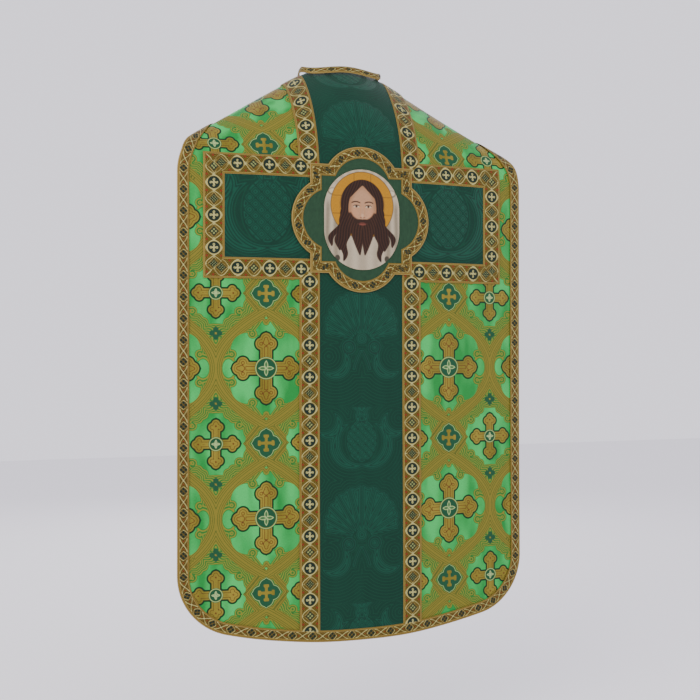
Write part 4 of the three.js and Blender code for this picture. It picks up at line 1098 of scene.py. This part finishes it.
def painted(x, z):
    """The picture's colours, from the veil outwards: folds, halo, hair, face and beard."""
    tint = np.broadcast_to(np.array(colour("#A89C84")[:3]), (*x.shape, 3)).copy()

    def lay(cover, code, strength=1.0):
        cover = np.clip(cover * strength, 0, 1)[..., None]
        tint[:] = tint * (1 - cover) + np.array(colour(code)[:3]) * cover

    across = np.abs(x)
    fold = 0.5 + 0.5 * np.sin(across / 2.6 + 0.25 * np.sin(z / 16))
    lay(fold * smooth(across, 40, 52) * smooth(-z, -46, -20), "#6E6450", 0.8)
    lay((0.5 + 0.5 * np.sin(across / 4.1 + 1)) * smooth(-z, 20, 60), "#857A64", 0.55)
    lay((0.5 + 0.5 * np.sin(np.arctan2(x, z - HALO_Z) * 26)) * smooth(z, 52, 78), "#857A64", 0.5)
    lay(spot(across, z, (60, 52), (9, 7)), "#6B614C", 0.9)
    lay(spot(across, z, (60, 53), (6.5, 4.6)), "#B8AC92")
    lay(spot(across, z, (50, -74), (5, 6)), "#3E3A2E")
    radius = np.hypot(x, z - HALO_Z)
    lay(smooth(64 - radius, -0.7, 0.7), "#5A4320")
    lay(smooth(62.6 - radius, -0.7, 0.7), "#A07012")
    lay(smooth(0.5 - np.abs(radius - 45.5), -0.4, 0.4), "#7A5A28")
    for ray in (17.0, -17.0):
        upright = smooth(0.6 - np.abs(x - ray), -0.4, 0.4) * (z > HALO_Z)
        level = smooth(0.6 - np.abs(z - HALO_Z - ray), -0.4, 0.4)
        band = smooth(62 - radius, -0.5, 0.5)
        lay(np.maximum(upright, level) * band, "#6B4A1A")
    hair = spot(x, z, (0, 29), (44, 48))
    for root, out, foot, wave in ((33, 31, -52, 0.0), (34, 14, -60, 1.4), (31, 6, -80, 2.6)):
        centre = root + out * smooth(-z, -8, 46) + 2.6 * np.sin(z / 6.5 + wave)
        width = 9.5 * np.sqrt(np.clip((z - foot) / 45, 0, 1))
        lock = smooth(width - np.abs(across - centre), -0.8, 0.8) * (z < 20)
        hair = np.maximum(hair, lock)
    hair = hair * smooth(z + 22 + 60 * (across > 22), -1, 1)
    lay(hair, "#1E120D")
    strand = 0.5 + 0.5 * np.sin(across * 1.15 + 2.2 * np.sin(z / 9) + 0.3 * z)
    lay(hair * strand, "#412719", 0.6)
    lay(hair * smooth(0.9 - across, -0.5, 0.5) * smooth(z, 56, 62), "#24160C")
    x, across, z = x / 1.1, across / 1.1, (z - 20) / 1.1 + 20
    parting = np.maximum(z - 36, 0)
    face = spot(x, z, (0, 20), (25.5, 41)) * smooth(26 - parting - across, -1, 1)
    lay(face, "#8E6848")
    lay(face * spot(x, z, (0, 24), (20, 32), 5), "#A98262", 0.85)
    lay(spot(across, z, (15, 12), (7, 10), 4), "#B9835F", 0.45)
    lay(face * smooth(across, 18, 26), "#9A6E4C", 0.55)
    below = np.maximum(-z, 0)
    beard = smooth(27 - 0.2 * below - 0.0026 * below ** 2 - across, -1, 1)
    beard = beard * smooth(60 + z - 0.012 * (across - 9) ** 2, -1, 1)
    beard = beard * (1 - spot(x, z, (0, 17), (20.5, 15.5), 1.5)) * smooth(14 - z, -2, 2)
    beard = beard * smooth(across - 0.2 * (below - 42), -0.8, 0.8)
    lay(beard, "#22140E")
    lay(beard * strand, "#462B1B", 0.6)
    lay(spot(across, z - 0.16 * (10 - across), (7.5, -1.0), (9.5, 3.2)), "#2C1B12")
    lay(spot(x, z, (0, -5.4), (6.5, 2.3)), "#6E3C30")
    lay(smooth(0.5 - np.abs(z + 4.6), -0.3, 0.3) * spot(x, z, (0, -5), (7, 3)), "#40201A")
    lay(spot(across, z, (11, 24.8), (5.4, 2.4)), "#B5A286")
    lay(spot(across, z, (11, 25.0), (2.2, 2.3)), "#33221A")
    lid = 27.3 - 0.05 * (across - 11) ** 2
    lay(smooth(0.75 - np.abs(z - lid), -0.35, 0.35) * spot(across, z, (11, 26), (6.2, 4)),
        "#3F281A")
    lay(smooth(0.4 - np.abs(z - lid + 5), -0.3, 0.3) * spot(across, z, (11, 22), (5.5, 3)),
        "#A57752")
    brow = 33.2 - 0.035 * (across - 12) ** 2
    lay(smooth(1.1 - np.abs(z - brow), -0.5, 0.5) * spot(across, z, (12, 32), (8.2, 5)),
        "#2C1B12")
    lay(smooth(0.6 - np.abs(across - 3.0 - 0.06 * (26 - z)), -0.5, 0.5)
        * smooth(z, 7, 10) * smooth(30 - z, -2, 4), "#A9774F", 0.75)
    lay(spot(across, z, (2.8, 5.8), (1.7, 1.1)), "#7A4A35")
    lay(spot(x, z, (0, 9), (2.4, 3.2), 1.5), "#BC9676", 0.7)
    return tint


picture_cloth, tree, shader = cloth_material("silk_needle_painting")
silk = node(tree, "Attribute", attribute_name="silk").outputs["Color"]
stitches = threads(tree, 0.8, 3.5)
finished(tree, shader, shaded(tree, silk, stitches, 0.84, 1.08), stitches, (0.5, 0.0005), 0.6,
         (0.02, 0.5))

side_half = PICTURE_HALF_HEIGHT - PICTURE_HALF_WIDTH
z = np.linspace(-PICTURE_HALF_HEIGHT, PICTURE_HALF_HEIGHT, 221)
z = PICTURE_HALF_HEIGHT * np.sin(z / PICTURE_HALF_HEIGHT * np.pi / 2) * 0.35 + z * 0.65
over = np.clip(np.abs(z) - side_half, 0, PICTURE_HALF_WIDTH)
half = np.sqrt(np.maximum(PICTURE_HALF_WIDTH ** 2 - over ** 2, 0))
x = half[:, None] * np.linspace(1, -1, 181)[None, :]
z = z[:, None] + 0 * x
hung("medallion_needle_painting", wrong_way([grid(
    x, back_level(x) - z - CROSSBAR_CENTRE, MEDALLION_TOP[1], MEDALLION_TOP[0],
    np.stack([x, z], -1), {"silk": painted(x, z)})]),
    picture_cloth, "picture_cloth", ["medallion_picture"], *PICTURE_CUT)

# ---- The ties --------------------------------------------------------------------------
# Two 20 mm twill tapes sewn to the lining inside the back's edges.  They pass round the
# wearer's waist and hold the back in place; here they hang straight down.

TIE_CUT = (0.02, 0.55)

twill, tree, shader = cloth_material("cotton_twill_tape")
slanted = on_cloth(tree, 1, 1, np.radians(63))
ribs = node(tree, "TexWave", {"Vector": slanted, "Scale": 190.0, "Distortion": 0.5})
# Painted light and shade: the slanting ribs are lighter on their tops and darker between them.
tone = mixed(tree, ribs.outputs[1], "#1B4A34", "#2B6A4B")
finished(tree, shader, tone, ribs.outputs[1], (0.4, 0.0003), 0.75)

for side, hand in ((1, "right"), (-1, "left")):
    low, high = (np.array(end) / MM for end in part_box(f"tie_{hand}"))
    x = np.linspace(low[0], high[0], 11)[None, :]
    z = np.linspace(low[2], high[2], 180)[:, None]
    x, z = np.broadcast_arrays(x, z)
    s = back_level(x) - z
    hung(f"waist_tape_{hand}", [
        grid(x, s, TIE[0] - sway(x, s), TIE[1] - sway(x, s), np.stack([x, z], -1))],
        twill, "tape", [f"tie_{hand}"], *TIE_CUT, [f"tie_{hand}"], ["back_lining_satin"])

# ---- The studio ------------------------------------------------------------------------
# A pale floor below the hem, an even pale sky, three square lamps and the camera.

FLOOR_HALF = 6
FLOOR_BELOW_HEM = 0.25
floor_z = -BACK_DROP * MM - FLOOR_BELOW_HEM
floor_mesh = bpy.data.meshes.new("floor")
floor_mesh.from_pydata([(x * FLOOR_HALF, y * FLOOR_HALF, floor_z) for x, y in (
    (-1, -1), (1, -1), (1, 1), (-1, 1))], [], [(0, 1, 2, 3)])
floor = bpy.data.objects.new("floor", floor_mesh)
bpy.context.collection.objects.link(floor)
pale, tree, shader = cloth_material("studio_floor")
fed(tree, shader, {"Base Color": "#F0EFF2", "Roughness": 0.9})
floor_mesh.materials.append(pale)

world = bpy.data.worlds.new("studio")
bpy.context.scene.world = world
world.use_nodes = True
fed(world.node_tree, world.node_tree.nodes["Background"], {"Color": "#D3D0DA", "Strength": 2.0})


def soft_light(name, at, aim, width, power, tint):
    """A square lamp that faces a point."""
    lamp = bpy.data.lights.new(name, "AREA")
    lamp.size = width
    lamp.energy = power
    lamp.color = colour(tint)[:3]
    made = bpy.data.objects.new(name, lamp)
    bpy.context.collection.objects.link(made)
    made.location = at
    direction = np.array(aim) - at
    yaw = np.arctan2(direction[1], direction[0]) - np.pi / 2
    pitch = np.arctan2(direction[2], np.hypot(direction[0], direction[1]))
    made.rotation_euler = (np.pi / 2 + pitch, 0, yaw)
    return made


soft_light("window", (-2.4, -2.2, 0.9), (0, 0, -0.55), 1.8, 70, "#FFF8EE")
soft_light("fill", (2.2, -2.6, 0.2), (0, 0, -0.5), 2.2, 18, "#F4F2FF")
soft_light("back", (0.6, 2.8, 0.8), (0, 0, -0.5), 2.0, 30, "#FFFFFF")

lens = bpy.data.cameras.new("camera")
camera = bpy.data.objects.new("camera", lens)
bpy.context.collection.objects.link(camera)
bpy.context.scene.camera = camera
lens.sensor_width = 36
lens.lens = 54.2
camera.location = (-0.689, -2.035, -0.551)
camera.rotation_euler = (np.pi / 2, 0, np.radians(-19.3))
